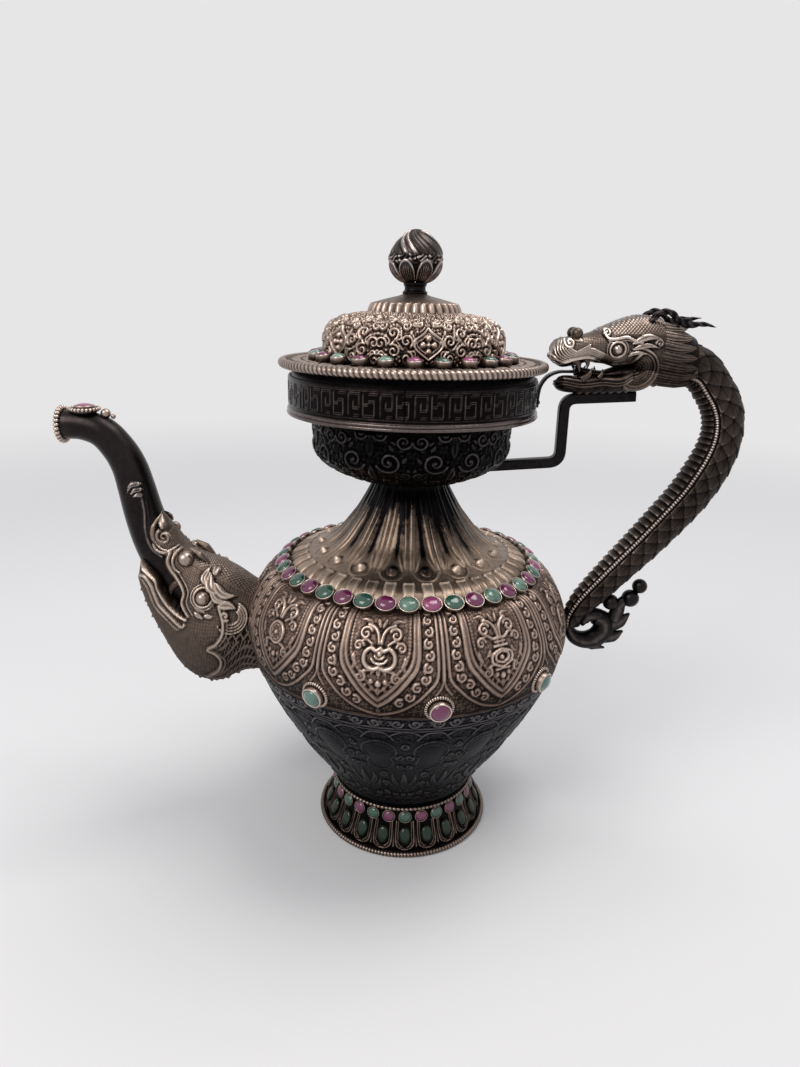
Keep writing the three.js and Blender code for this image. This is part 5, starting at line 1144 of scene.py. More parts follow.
eye_place = (-100.1, 128.6)
stroke(relief, x, y, ring_points(*eye_place, 4.5), 0.7, 1.0)
stroke(relief, x, y, ring_points(*eye_place, 5.9), 0.45, 0.7)
# The mouth: a wavy upper lip, and a lower jaw that ends in a leaf's tip; the plain trunk comes out
# between them.
upper_lip = through([(-117.0, 149.8), (-117.9, 145.2), (-116.2, 141.2), (-113.5, 137.8), (-110.8, 133.7),
                     (-109.6, 130.2), (-110.5, 126.1), (-109.4, 122.5), (-107.5, 119.4)], 0.6)
for gap, half, rise in ((0, 1.3, 1.3), (2.3, 0.6, 0.55)):
    stroke(relief, x, y, upper_lip + (gap, 0.2 * gap), half, rise, 0.3)
jaw_edge = through([(-133.0, 142.2), (-131.1, 141.1), (-127.0, 138.1), (-123.7, 135.2), (-122.6, 131.1),
                    (-120.0, 126.5), (-117.0, 122.6), (-113.0, 119.3), (-109.1, 117.3)], 0.6)
jaw_fold = through([(-132.0, 137.2), (-129.4, 136.8), (-126.3, 133.0), (-124.8, 128.9), (-122.6, 123.4),
                    (-119.0, 119.6), (-115.4, 116.4), (-111.3, 113.2), (-109.6, 114.6)], 0.6)
stroke(relief, x, y, jaw_edge, 0.95, 1.1)
stroke(relief, x, y, jaw_fold, 1.1, 1.1, 0.3)
stroke(relief, x, y, jaw_fold - (2.6, 1.8), 0.6, 0.5, 0.3)
stroke(relief, x, y, ring_points(-109.8, 145.2, 5.7, 70, 250), 1.1, 1.0, 0.5)
cheek = through([(-92.4, 124.5), (-90.3, 116.6), (-90.9, 110.4), (-94.2, 105.2), (-98.4, 102.2),
                 (-94.6, 99.8), (-92.4, 95.4), (-94.6, 89.5), (-101, 84.5)], 0.6)
for gap, half, rise in ((0, 0.95, 1.2), (1.9, 0.55, 0.6)):
    stroke(relief, x, y, cheek + (gap, -0.2 * gap), half, rise)
for k in range(4):
    ear = ring_points(-86.6 + 0.1 * k, 118.2 + 0.2 * k, 7.4 - 1.3 * k, 60 - 6 * k, -150 + 12 * k)
    stroke(relief, x, y, ear, 0.7, 1.25 - 0.12 * k, 0.5)
stroke(relief, x, y, curl(-89.2, 119.8, 2.4, -60, 1.1, -1), 0.8, 1.3)
leaf(relief, x, y, (-92.8, 124.6), (-84.0, 122.6), 2.4, 1.7, 0.12)
for root, tip, half, bend in (((-97.6, 138.4), (-91.6, 129.6), 2.6, -0.25),
                              ((-95.2, 134.6), (-84.2, 128.2), 2.2, -0.18),
                              ((-96.8, 131.6), (-88.0, 126.2), 1.6, -0.2),
                              ((-98.2, 140.8), (-97.2, 133.2), 1.8, -0.35)):
    leaf(relief, x, y, root, tip, half, 1.8, bend)
button(relief, x, y, -94.6, 139.2, 1.5, 1.5)
stroke(relief, x, y, curl(-94.6, 139.2, 2.9, 40, 0.9, 1), 0.55, 0.9)
for root, tip in (((-104, 124), (-98.4, 121.2)), ((-104.4, 121.4), (-99.6, 118.2)),
                  ((-99.5, 120.0), (-94.6, 119.4))):
    leaf(relief, x, y, root, tip, 1.3, 1.0)
plume = through([(-126.6, 167.0), (-126.4, 160.2), (-125.5, 154.5), (-122.8, 150.6), (-118.8, 149.2),
                 (-115.4, 150.8)], 0.6)
for gap, half in ((0, 0.8), (1.8, 0.5)):
    stroke(relief, x, y, plume + (gap, 0.5 * gap), half, 0.9)
relief *= flank
# Under the scroll lines the skin is punched in rows, and under the chin it is cut into lozenge scales.
behind = x - np.interp(y, [84, 89.5, 95.4, 99.8, 102.2, 105.2, 110.4, 116.6, 124.5],
                       [-101, -94.6, -92.4, -94.6, -98.4, -94.2, -90.9, -90.3, -92.4])
scaled = np.clip((behind - 1.2) / 0.8, 0, 1) * (y < 112.5)
along = np.arange(sections)[:, None] * head_run / sections
girth = turn * (high + wide) / 2
def waves(places, pitch):
    """Rows of rounded ridges, `pitch` apart: the absolute value of a sine."""
    return np.abs(np.sin(places * np.pi / pitch))

lozenge = np.minimum(waves(along + 0.8 * girth, 4.4), waves(along - 0.8 * girth, 4.4))
punched = waves(along, 1.45) * waves(girth + 0.25 * along, 1.35)
ground = -0.4 * (1 - punched) * (1 - scaled) - 0.8 * scaled * np.clip((lozenge - 0.42) / 0.15, 0, 1)
relief = np.where(relief > 0.12, relief, ground)
top_scales = np.clip((s - 0.86) / 0.06, 0, 1) * (x > -108)
beard = np.clip((-s - 0.9) / 0.05, 0, 1)
crest = 0.5 * np.minimum(waves(along + girth, 2.4), waves(along - girth, 2.4))
spine = np.clip(np.sin(along * 0.9) + np.sin(along * 2.3 + 1), 0, 1.6)
ridged = top_scales * crest + beard * 0.75 * spine * waves(along, 2.9) ** 1.5
relief = np.where(top_scales + beard > 0, np.maximum(relief, ridged), relief)
# Towards the open end the work fades out.
fading = np.clip((sections - 1 - np.arange(sections)[:, None]) / 22, 0, 1)
relief = relief * fading
tone = 0.1 + 0.78 * wear_of(relief, 1.3, 0.44, 0.3)
# Painted light and shade: the tone is darkened towards the head's bottom and lightened towards its top.
tone = tone * np.interp(y, [82, 108, 126, 146], [0.6, 0.82, 0.98, 1.06])
# Inside the mouth, and left of the plume, the skin sinks below the trunk's surface: within an outline of
# the lips each point is drawn to `sunk_to` from the middle of its own section, more and more over 1.2
# from the outline in.
sunk_to = 8
opening = np.vstack([upper_lip, jaw_edge[::-1], [(-142, 142), (-142, 172), (-127, 172)],
                     plume[plume[:, 0] < -118.5]])
within = np.zeros(x.shape, bool)
for a, b in zip(opening, np.roll(opening, -1, 0)):
    if a[1] != b[1]:
        crosses = (a[1] > y) != (b[1] > y)
        within ^= crosses & (x < (b[0] - a[0]) * (y - a[1]) / (b[1] - a[1]) + a[0])
edge = np.zeros(x.shape)
stroke(edge, x, y, np.vstack([opening, opening[:1]]), 1.2, 1.0)
sunk = (within * (1 - edge))[..., None]
middle = np.stack([middle_x, 0 * middle_x, middle_z], -1)
formed = lifted(skin, relief)
reach = np.linalg.norm(formed - middle, axis=-1, keepdims=True)
sinking = np.maximum(sunk, (1 - fading)[..., None])
formed = middle + (formed - middle) * (1 + sinking * (sunk_to / np.maximum(reach, sunk_to) - 1))
tone = tone * (1 - sunk[..., 0]) + 0.04 * sunk[..., 0]
# The root end is let in to the belly's wall.
wall = np.interp(formed[..., 2], belly_line[:, 1], belly_line[:, 0]) + 0.2
from_axis = np.hypot(formed[..., 0], formed[..., 1])
formed[..., :2] *= np.maximum(wall / from_axis, 1)[..., None]
head_silver = silver("head_silver", (0.014, 0.010, 0.009), (0.165, 0.124, 0.100), (0.68, 0.57, 0.49))
piece("spout_head", [(formed, tone, True)], head_silver, "vessel",
      ["makara_head", "makara_ear_near", "makara_ear_far"], "silver")

# Plume, fangs and eye covers of the same head: leaves and curls that stand free of the skin, in mirrored
# pairs, with one broad leaf along the middle, and the grains of eyes and nostrils.

def crest_leaf(points, high, wide, sides=24):
    """A leaf or curl in the middle plane: an oval of changing size along a line through the points."""
    line = through(points, 0.5)
    high, wide = [np.maximum(sized(line, points, v), 0.15) for v in (high, wide)]
    return swept(line, high, wide, sides)

def on_trunk(grid, side):
    """Moves a leaf of the plume outwards to lie on the round trunk, less and less towards its tip."""
    grid[..., 1] += side * np.interp(grid[..., 2], [150, 157, 161.6, 165, 167.6], [8.2, 8.6, 7.6, 5.0, 1.0])
    return grid

roll_out, fang_out, cover_out = 8.6, 12.6, 6.0    # distances from the middle plane
plume_parts = []
for side in (-1, 1):
    flame = crest_leaf([(-114.0, 150.2), (-119.4, 149.4), (-123.8, 151.8), (-125.6, 157.0), (-125.2, 161.6),
                        (-123.6, 165.0), (-122.4, 167.6)],
                       [0.8, 1.3, 1.4, 1.4, 1.3, 1.0, 0.2], [1.0, 1.4, 1.5, 1.5, 1.5, 1.2, 0.2])
    plume_parts.append((on_trunk(flame, side), 0.62, True))
    drop = crest_leaf([(-120.6, 160.2), (-121.4, 163.2), (-122.2, 166.6)], [0.8, 1.7, 0.2], [0.8, 1.4, 0.2])
    plume_parts.append((on_trunk(drop, side), 0.7, True))
    line = curl(-119.9, 156.6, 3.7, 120, 1.5, 1)
    roll = swept(line, np.linspace(1.1, 0.7, len(line)), np.linspace(1.9, 1.3, len(line)), 16)
    plume_parts.append((roll + (0, roll_out * side, 0), 0.68, True))
    fang = crest_leaf([(-111.0, 134.6), (-114.6, 133.4), (-117.0, 130.6), (-117.4, 127.6)],
                      [1.2, 1.9, 1.5, 0.2], [1.2, 1.6, 1.3, 0.2])
    plume_parts.append((fang + (0, fang_out * side, 0), 0.3, True))
middle_leaf = crest_leaf([(-117, 143.0), (-119.0, 149.5), (-119.8, 155.0), (-120.8, 160.5),
                          (-122.2, 166.8)],
                         [4.0, 4.6, 3.8, 2.4, 0.3], [8.0, 8.0, 7.4, 5.6, 0.8])
plume_parts.append((middle_leaf, 0.34, True))
for side in (-1, 1):
    cover = crest_leaf([(-99.0, 142.4), (-103.4, 146.8), (-108.4, 150.2)], [0.6, 1.8, 0.6], [1.2, 2.6, 1.2])
    plume_parts.append((cover + (0, cover_out * side, 0), 0.5, True))
piece("spout_plume", plume_parts, head_silver, "vessel", ["makara_crest"], "silver")

def ball_pair(x, out, z, radius, tone=0.75):
    """Two grains alike on either side of the middle plane."""
    return ball((x, -out, z), radius, tone) + ball((x, out, z), radius, tone)

grains = ball_pair(-110.0, 9.0, 145.0, 4.3) + ball_pair(eye_place[0], 18.9, eye_place[1], 3.3)
piece("spout_head_grains", grains, wire_silver, "vessel", ["makara_eye_near", "makara_eye_far"], "wire")

# Dragon's head at the top of the handle: raised in two halves and soldered, its snout wrinkled and
# curled, a brow leaf over a ringed eye, a punched cheek, an open mouth with fangs and a tongue. Painted
# light on top and painted shade to black underneath.
dragon_silver = silver("dragon_silver", (0.010, 0.008, 0.008), (0.150, 0.113, 0.092), (0.78, 0.68, 0.60),
                       rough=(0.44, 0.17))
snout_tip, skull_long, jaw_foot, skull_high, skull_wide = 63.6, 49.0, 232.78, 30.4, 27.0
skull_table = np.array([(0.0, 0.475, 0.074, 0.15), (0.012, 0.49, 0.13, 0.2), (0.05, 0.508, 0.189, 0.28),
                        (0.13, 0.503, 0.224, 0.33), (0.325, 0.572, 0.22, 0.34), (0.457, 0.628, 0.26, 0.37),
                        (0.58, 0.648, 0.329, 0.42), (0.71, 0.684, 0.365, 0.45), (0.824, 0.6, 0.47, 0.49),
                        (1.0, 0.516, 0.51, 0.48)])

def lofted(table, sections, sides, power=1.0):
    """Ovals across X between table rows of (x, height, half height, half width), drawn smoothly through
    them."""
    rows = evened(table, 0.4, sections)[0][:, :, None]
    c, s = oval(sides, power)
    return np.stack([rows[:, 0] + 0 * c, -rows[:, 3] * c, rows[:, 1] + rows[:, 2] * s], -1)

skull_table = skull_table * (skull_long, skull_high, skull_high, skull_wide) + (snout_tip, jaw_foot, 0, 0)
skull = lofted(skull_table, 175, 300, 0.95)
x, y, relief = seen_from_side(skull)
# Seven wrinkles run from the brow down round the nostril and back along the lip.
for k in range(7):
    wrinkle = through([(73.0 + 0.5 * k, 258.0 - 0.75 * k), (67.0 + 0.8 * k, 256.0 - 0.45 * k),
                       (64.4 + 1.05 * k, 250.6), (65.8 + 1.25 * k, 246.4 + 0.4 * k),
                       (71.5 + 0.6 * k, 244.6 + 0.8 * k), (79.5, 247.0 + 0.8 * k), (84.5, 246.2 + 0.7 * k),
                       (90.5, 244.2 + 0.5 * k)][:8 if k < 5 else 6], 0.5)
    stroke(relief, x, y, wrinkle, 0.5, 0.6)
lip = through([(63.4, 246.6), (67.6, 244.0), (72.9, 245.6), (79.5, 246.6), (84.4, 244.8), (89.6, 243.2),
               (94.8, 243.4), (99.0, 245.2), (102.0, 249.0)], 0.5)
stroke(relief, x, y, lip, 1.0, 1.1)
stroke(relief, x, y, curl(70.6, 252.4, 2.6, 120, 1.4, 1), 0.6, 1.1)
eye_x, eye_z = 91.6, 250.3
for radius, half, rise in ((3.3, 0.6, 1.0), (4.5, 0.4, 0.5)):
    stroke(relief, x, y, ring_points(eye_x, eye_z, radius), half, rise)
for k in range(4):
    stroke(relief, x, y, ring_points(eye_x, eye_z, 5.6 + 1.0 * k, -135, -8), 0.42, 0.5)
# The brow: a thin rolled leaf with a curl in front, then two ear leaves that end in a curl behind the eye.
brow = through([(85.8, 256.6), (87.6, 254.6), (91.0, 254.8), (95.0, 255.6), (98.6, 254.2), (101.6, 253.4)],
               0.4)
stroke(relief, x, y, brow, 0.8, 1.3)
stroke(relief, x, y, brow + (0.4, -1.2), 0.4, 0.7)
stroke(relief, x, y, curl(86.6, 257.6, 1.6, -60, 1.1, 1), 0.5, 1.1)
for root, tip, half, bend in (((97.6, 253.0), (110.8, 255.0), 1.7, 0.14),
                              ((98.0, 250.6), (109.6, 251.4), 1.3, 0.12),
                              ((96.4, 248.0), (105.0, 248.6), 1.0, 0.12)):
    leaf(relief, x, y, root, tip, half, 1.4, bend)
stroke(relief, x, y, curl(109.4, 253.2, 1.8, 180, 1.2, -1), 0.55, 1.2)
cheek_x, cheek_z, cheek_radius = 101.0, 241.8, 7.2

def cheek_rim(first, last):
    """The two raised lines round the cheek, from angle to angle."""
    for radius, half, rise in ((9.2, 0.7, 0.9), (7.8, 0.45, 0.5)):
        stroke(relief, x, y, ring_points(cheek_x, cheek_z, radius, first, last), half, rise)

def cheek_dots():
    """How far each place is from the cheek's middle, and dots in rings about it: 18 to half a turn, 1.2
    apart."""
    from_cheek = np.hypot(x - cheek_x, y - cheek_z)
    return from_cheek, waves(from_cheek, 1.2) * np.abs(np.sin(np.arctan2(y - cheek_z, x - cheek_x) * 18))

cheek_rim(-80, 95)
relief *= np.clip((np.abs(skull[..., 1]) - 2.5) / 2, 0, 1)
# Bare skin is punched in rows; the cheek is punched in rings, and the forehead is cut in fine scales.
from_cheek, dots = cheek_dots()
cheek = (from_cheek < cheek_radius) & (x > 95)
hairline = np.interp(x, [74, 84, 92, 100, 112.6], [260, 257.2, 256.6, 256.2, 256.6])
forehead = np.clip((y - hairline) / 0.8, 0, 1)
fine_scale = waves(x + 0.9 * y, 1.5) * waves(x - 0.9 * y, 1.5)
nap = waves(x, 1.1) * waves(y, 1.0)
ground = -0.35 * cheek * (1 - dots) + forehead * 0.3 * fine_scale - 0.1 * nap * ~cheek * (1 - forehead)
relief = np.where(relief > 0.1, relief, ground)
# Painted light and shade: the tone is bright on top, the forehead 0.1 lighter, and it falls off to black
# under the eye and behind.
reach = np.interp(y, [236, 243, 249, 256], [0.25, 0.45, 0.85, 1.0])
reach = reach * np.interp(x, [88, 104, 112], [1, 0.8, 0.6])
tone = wear_of(relief, 0.85, 0.45, 0.25) * np.where(x < 86, 1, reach) + 0.1 * forehead
piece("dragon_skull", [(lifted(skull, relief), tone, True)], dragon_silver, "vessel", ["dragon_skull"],
      "silver")
grains = ball_pair(eye_x, 10.6, eye_z, 2.3, 0.7) + ball_pair(74.1, 4.6, 256.6, 2.7, 0.3)
piece("dragon_grains", grains, dragon_silver, "vessel",
      ["dragon_eye_near", "dragon_eye_far", "dragon_nose_bead_near", "dragon_nose_bead_far"], "wire")

# Lower jaw: a shallow trough with a rolled lip, scalloped along its under edge, the fangs and tongue
# soldered in.
jaw_table = np.array([(66.6, 233.6, 1.4, 2.4), (68.0, 233.4, 2.6, 4.2), (71.0, 233.4, 3.5, 6.2),
                      (77.0, 233.2, 3.6, 7.6), (84.0, 233.6, 3.7, 8.6), (91.0, 234.2, 3.9, 9.6),
                      (97.0, 235.0, 4.3, 10.4), (102.0, 236.6, 5.6, 11.0), (106.0, 238.4, 6.8, 11.4),
                      (109.5, 240.6, 6.4, 11.2), (112.0, 242.6, 4.4, 10.0)])
jaw_sides, joint_x = 180, 97    # behind joint_x the jaw is one with the cheek
jaw = lofted(jaw_table, 150, jaw_sides, 0.9)
x, y, relief = seen_from_side(jaw)
for drop, half, rise in ((0.0, 0.8, 1.0), (1.7, 0.4, 0.5), (2.8, 0.4, 0.5)):
    line = through([(66.6, 236.0), (70.5, 236.6), (78, 235.8), (87, 237.0), (93, 236.8), (97, 237.8),
                    (100, 240)], 0.6)
    stroke(relief, x, y, line - (0, drop), half, rise)
cheek_rim(-120, 30)
up_share = oval(jaw_sides)[1]    # -1 on the jaw's under edge, 1 on its top
under = np.clip((-up_share - 0.55) / 0.3, 0, 1) * (x > 76) * (x < 99)
relief += 0.9 * waves(x, 3.6) ** 0.7 * under
out = np.abs(jaw[..., 1])
trough = (up_share > 0.78) & (out < 0.62 * out.max(1, keepdims=True))
relief = np.where(trough, -1.4, relief)
from_cheek, dots = cheek_dots()
relief = np.where((relief < 0.1) & (from_cheek < cheek_radius) & (x > joint_x), -0.35 * (1 - dots), relief)
# The jaw's tone is held to 0.55 of its worn value: painted shade under the head.
jaw_parts = [(lifted(jaw, relief), 0.55 * wear_of(relief, 1.2, 0.22) + 0.12 * (x > joint_x), True)]
for points, out, thick in (([(73.2, 245.6), (75.4, 243.2), (76.4, 239.4)], 6.4, 1.9),
                           ([(78.6, 246.0), (79.6, 243.6), (79.4, 241.0)], 7.0, 1.3),
                           ([(77.4, 236.2), (80.6, 238.4), (82.0, 241.8)], 6.8, 1.9),
                           ([(85.0, 237.2), (86.4, 239.2), (86.4, 241.4)], 7.6, 1.2)):
    for side in (-1, 1):
        fang = crest_leaf(points, [thick, 0.75 * thick, 0.15], [0.8 * thick, 0.6 * thick, 0.15], 16)
        jaw_parts.append((fang + (0, side * out, 0), 0.3, True))
tongue = crest_leaf([(102.0, 240.4), (95.0, 239.6), (88.0, 238.6), (81.0, 239.4), (75.6, 241.0)],
                    [3.2, 2.6, 1.5, 1.6, 1.0], [8.4, 7.6, 5.0, 4.2, 2.6], 40)
palate = crest_leaf([(102.0, 246.0), (94.0, 245.6), (84.0, 246.4), (74.0, 246.6)], [2.0, 3.0, 2.8, 1.4],
                    [9.0, 8.0, 7.0, 4.6], 40)
jaw_parts += [(tongue, 0.12, True), (palate, 0.06, True)]
piece("dragon_jaw", jaw_parts, dragon_silver, "vessel", ["dragon_jaw"], "silver")

# Antlers: each is a pair of wires twisted into one rope, arched back from the brow, with a short tine.
# All of it is black.
def twisted(points, radius, sides=28, lay=8.0):
    """Two round strands laid about a line of (x, height) points, as one skin: its radius swells as 0.8
    plus 0.28 times a cosine's absolute value, and the swelling turns once in each lay."""
    line = through(points, 0.22)
    face = np.linspace(0, 2 * np.pi, sides, endpoint=False)
    strand = np.abs(np.cos(face + 2 * np.pi * length_along(line)[:, None] / lay))
    size = sized(line, points, radius)[:, None] * (0.8 + 0.28 * strand)
    return swept(line, size, size, sides), 0.1 + 0.45 * strand**2

stem = [(106.7, 256.0), (105.9, 260.2), (106.9, 263.7), (109.2, 265.9), (112.3, 267.0), (115.4, 266.1),
        (117.7, 263.9), (120.3, 262.0), (123.7, 261.2), (127.5, 261.9), (131.5, 261.7), (135.4, 260.7)]
tine = [(119.4, 262.6), (123.5, 264.0), (128.4, 264.6)]
antlers, antler_out = [], 7.5
for side in (-1, 1):
    for points, sizes in ((stem, [1.9, 1.7, 1.5, 1.45, 1.4, 1.4, 1.4, 1.4, 1.3, 1.2, 0.9, 0.12]),
                          (tine, [1.2, 1.0, 0.12])):
        grid, shine = twisted(points, sizes)
        antlers.append((grid + (0, antler_out * side, 0), shine, True))
piece("dragon_antlers", antlers, black_silver, "vessel", ["dragon_antler_near", "dragon_antler_far"],
      "dark_silver")

# Mane: long ribbed locks of sheet silver that lie back over the neck, seven on each side of a plain core,
# the upper ones ending in free points.
mane_table = np.array([(107.5, 247.6, 13.0, 11.2), (113.5, 248.0, 13.6, 11.8), (118.8, 247.2, 13.4, 11.8),
                       (124.5, 246.0, 12.2, 11.2), (129.0, 245.0, 10.8, 10.0)])
mane = lofted(mane_table, 60, 200)

def lock(root_z, tip_x, tip_z, half, free, side):
    """A lock that lies on the mane from x = 107.6 to its tip, `free` of it turned up: an oval section
    that narrows to the tip, sunk between ten ribs, which are the absolute value of a sine of five
    turns."""
    sides = 50
    xs = np.array([107.6, 112.0, 117.0, 122.5, tip_x])
    zs = root_z + (tip_z - root_z) * np.array([0, 0.3, 0.62, 0.9, 1])
    zs = zs + free * np.array([0, -0.2, -0.3, 0.1, 0.9])
    middle, high, wide = [np.interp(xs, mane_table[:, 0], mane_table[:, k]) for k in (1, 2, 3)]
    out = wide * np.sqrt(np.clip(1 - ((zs - middle) / (high + 1.4)) ** 2, 0.05, 1))
    out = out + np.array([-0.6, 0, 0, 0, 0.6])
    line = through(np.stack([xs, side * out, zs], 1), 0.5)
    share = np.linspace(0, 1, len(line))
    tall = half * np.interp(share, [0, 0.25, 0.6, 0.85, 1], [0.85, 1.05, 1.0, 0.6, 0.06])
    grid = swept(line[:, [0, 2]], tall, np.interp(share, [0, 0.3, 0.8, 1], [1.2, 1.7, 1.3, 0.15]), sides)
    grid[..., 1] += line[:, 1:2]
    rib = np.abs(np.sin(5 * np.linspace(0, 2 * np.pi, sides, endpoint=False)))
    sunk = -0.32 * (1 - rib) * np.clip((1 - share[:, None]) * 6, 0, 1)
    return lifted(grid, sunk), rib

mane_parts = [(mane, 0.05, True)]
# Each lock's tone falls from the top lock to the bottom one: painted light on top and painted shade below.
for root_z, tip_x, tip_z, half, shine, free in (
        (260.6, 125.1, 259.4, 2.3, 0.62, 1.2), (257.2, 126.6, 255.2, 2.5, 0.55, 1.0),
        (253.6, 127.6, 250.8, 2.5, 0.44, 0.8), (249.6, 128.2, 246.8, 2.5, 0.34, 0.3),
        (245.4, 129.0, 242.6, 2.5, 0.26, 0), (241.2, 129.6, 238.8, 2.5, 0.22, 0),
        (237.2, 128.6, 235.4, 2.3, 0.2, 0)):
    for side in (-1, 1):
        grid, rib = lock(root_z, tip_x, tip_z, half, free, side)
        mane_parts.append((grid, np.clip(shine * (0.25 + 0.85 * rib), 0, 1), True))
piece("dragon_mane", mane_parts, dragon_silver, "vessel", ["dragon_mane"], "silver")

# Handle: the dragon's body, a hollow casting with overlapping shield-shaped scales on its back and sides,
# a milled wire along each flank and rounded plates on the inside of the curve. It tapers down to the
# belly.
grip_points = [(119, 244.5), (128, 243.3), (134.5, 240.3), (139.5, 234.3), (144.6, 227), (147.5, 219),
               (147.9, 210), (145.9, 201), (141.9, 191.5), (135.8, 180.8), (127.5, 169.6), (117.2, 156.6),
               (106.5, 144), (96.5, 132), (90, 123.8), (85.6, 116.5), (84.8, 111)]
grip_sizes = [0.88, 0.93, 0.88, 0.87, 0.89, 0.9, 0.91, 0.95, 0.975, 0.96, 0.93, 0.88, 0.8, 0.72, 0.63, 0.47,
              0.4]
grip_line = through(grip_points, 0.4)
grip_run = length_along(grip_line)[:, None]
size = sized(grip_line, grip_points, grip_sizes)
around_it = 204
body = swept(grip_line, 9.9 * size, 9.3 * size, around_it)
from_back = np.arccos(np.clip(oval(around_it)[1], -1, 1))
x = 10.0 * from_back * size[:, None]    # millimetres round from the back's crest
y = grip_run + 0 * x
wire_at = 21.5 * size[:, None]          # where the milled wire lies on the flank
scale_wide, scale_pitch, scale_long = 8.2, 8.4, 11.6

def overlapping(x, y, wide, pitch, long):
    """Staggered shields like roof tiles: each is a plate as wide as `wide` down to half its length and
    then runs to a point; it rises towards that free point, and the highest plate at a place is the one
    that is seen."""
    seen = np.zeros(x.shape)
    for stagger in (0, 1):
        u = np.abs((x + wide * stagger / 2 + wide / 2) % wide - wide / 2)
        for behind in (0, 1):
            v = ((y + pitch * stagger / 2) % pitch + pitch * behind) / long
            half = 0.56 * wide * (1 - np.clip((v - 0.4) / 0.6, 0, 1) ** 2.2)
            plate = (0.1 + 1.25 * v) * np.clip((half - u) / 0.35, 0, 1) * (v < 1)
            border = 0.16 * np.exp(-(((half - u - 0.95) / 0.22) ** 2))
            vein = 0.2 * np.exp(-((u / 0.2) ** 2)) * (v < 0.85)
            seen = np.maximum(seen, plate - (border + vein) * (plate > 0.2))
    return seen

scales = overlapping(x, y, scale_wide, scale_pitch, scale_long)
plate_count = 46
plate_share = grip_run / grip_run[-1] * plate_count % 1
plates = 1.3 * plate_share ** 0.7 * np.clip((1 - plate_share) / 0.16, 0, 1) - 0.5 + 0 * x
milling = 0.4 + 0.6 * np.abs(np.cos(np.pi * grip_run / 1.5))
wire = 1.1 * np.sqrt(np.clip(1 - ((x - wire_at) / 1.0) ** 2, 0, 1)) * milling
gutter = np.abs(x - wire_at) < 1.6
relief = np.where(x < wire_at, scales, plates)
relief = np.where(gutter, np.maximum(wire, 0), relief) * np.clip(grip_run / 3, 0, 1)
# The plates are made lighter towards the grip's lower end.
ground_tone = np.interp(grip_run / grip_run[-1], (0.35, 0.8), (0.14, 0.42))
tone = wear_of(relief, 1.1, np.where(x < wire_at, -0.08, ground_tone))
tone = np.where(gutter, np.clip(1.4 * wire - 0.35, 0, 1), 0.85 * tone)
grip_silver = silver("grip_silver", (0.008, 0.007, 0.007), (0.060, 0.046, 0.038), (0.46, 0.39, 0.34),
                     rough=(0.55, 0.28))
piece("grip", [(lifted(body, relief), tone, True)], grip_silver, "vessel",
      ["grip_body", "grip_bead_line_near", "grip_bead_line_far"], "silver")

# Tail: a thick blackened C-scroll under the grip's end, grooved along its length, with three leaf lobes
# outside, a blunt hook inside and three grains on a short stalk.
def grooved(points, high, wide, grooves, sides=40):
    """A leaf along a line whose skin swells into rounded ribs that run along it."""
    grid = crest_leaf(points, high, wide, sides)
    rib = np.abs(np.cos(grooves * np.linspace(0, np.pi, sides, endpoint=False)))
    return grid, np.clip(0.1 + 0.5 * rib ** 3 + 0 * grid[..., 0], 0, 1)

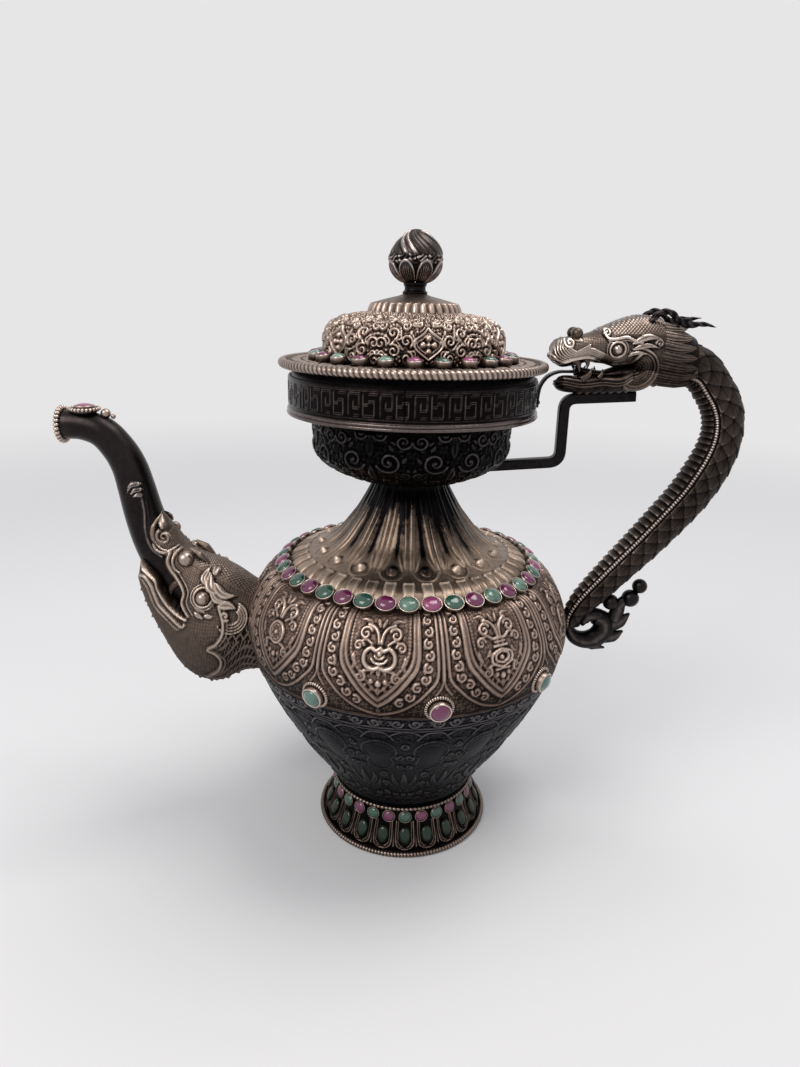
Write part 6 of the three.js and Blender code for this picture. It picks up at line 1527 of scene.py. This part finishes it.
tail = []
for points, high, wide, ribs in (
        ([(83.2, 115), (84.3, 108.6), (87.7, 104.0), (93.0, 102.3), (98.6, 103.8), (102.2, 108.2),
          (101.6, 113.0), (97.8, 115.6)], [2.0, 2.6, 3.8, 4.7, 5.4, 5.8, 5.2, 4.4],
         [3.2, 3.6, 3.9, 4.2, 4.2, 4.2, 4.0, 3.6], 3),
        ([(100, 115.8), (96.4, 116.4), (93.2, 115.6), (91.6, 113.0), (91.2, 110.4)],
         [3.6, 3.8, 3.4, 2.8, 0.9], [3.4, 3.6, 3.6, 3.0, 1.2], 2),
        ([(91.0, 99.9), (97.4, 99.0), (103.9, 97.9)], [1.2, 2.3, 0.4], [2.2, 2.4, 1.0], 2),
        ([(102.4, 104.4), (108.0, 104.9), (112.6, 107.7)], [4.0, 3.4, 0.4], [3.0, 2.4, 1.0], 2),
        ([(105.6, 111.2), (110.6, 113.4), (115.0, 117.6)], [4.4, 3.7, 0.4], [3.0, 2.4, 1.0], 2),
        ([(107.0, 114.0), (108.6, 119.0), (110.2, 123.4), (115.4, 128.2)], [4.0, 3.6, 2.8, 2.2],
         [3.2, 2.6, 2.4, 2.2], 2)):
    tail.append((*grooved(points, high, wide, ribs), True))
for place, radius in (((104.5, 0, 123.7), 4.1), ((114.4, 0, 126.0), 4.5), ((118.5, 0, 132.7), 3.8)):
    tail += ball(place, radius, 0.42)
piece("tail_scroll", tail, black_silver, "vessel", ["tail_finial"], "silver")
lug = turned(np.array([(0.2, -5.0), (4.2, -5.0), (4.2, 2.2), (3.6, 2.8), (0.2, 2.8)]), 40)
lug = set_at(lug, (82.0, 0, 111.9), (0, 1, 0), (0, 0, 1))
piece("handle_lug", [(lug, 0.25, True)], grip_silver, "vessel", ["handle_lug"], "silver")

# Bracket: a flat bar bent like a Z that carries the dragon's jaw out from the cup, and the tongue, a thin
# strap that comes out of the mouth and is riveted down the collar's side.
bar_sides = 32

def flat_bar(points, thick, wide, corner, power=0.35):
    """A rectangular bar with softened edges along straight runs whose corners are rounded off by
    `corner`."""
    p = np.asarray(points, float)
    line = [p[0]]
    for before, here, after in zip(p[:-2], p[1:-1], p[2:]):
        start = here + corner * (before - here) / np.linalg.norm(before - here)
        end = here + corner * (after - here) / np.linalg.norm(after - here)
        t = np.linspace(0, 1, 12)[:, None]
        line += list((1 - t) ** 2 * start + 2 * t * (1 - t) * here + t**2 * end)
    line = through(np.array(line + [p[-1]]), 1.2, False)
    return swept(line, thick / 2, wide / 2, bar_sides, power)

bar = flat_bar([(33.5, 193.3), (71.9, 196.4), (71.9, 226.6), (104.7, 228.6)], 5.0, 6.0, 5.5)
filed = 0.1 * np.abs(np.sin(length_along(bar[:, 0])[:, None] * 1.3 + np.arange(bar_sides)))    # file marks
piece("z_bracket", [(bar, 0.24 + 0.4 * filed, True)], black_silver, "vessel", ["z_bracket"], "dark_silver")
strap = flat_bar([(77.0, 239.3), (66.0, 239.2), (60.2, 234.5), (58.9, 228.0), (58.9, 222.6)], 1.2, 6.0, 4.2)
rivet = ball((59.4, 0, 224.6), 1.1, 0.4)
piece("tongue_strap", [(strap, 0.3, True)] + rivet, black_silver, "vessel", ["tongue_strap"], "dark_silver")
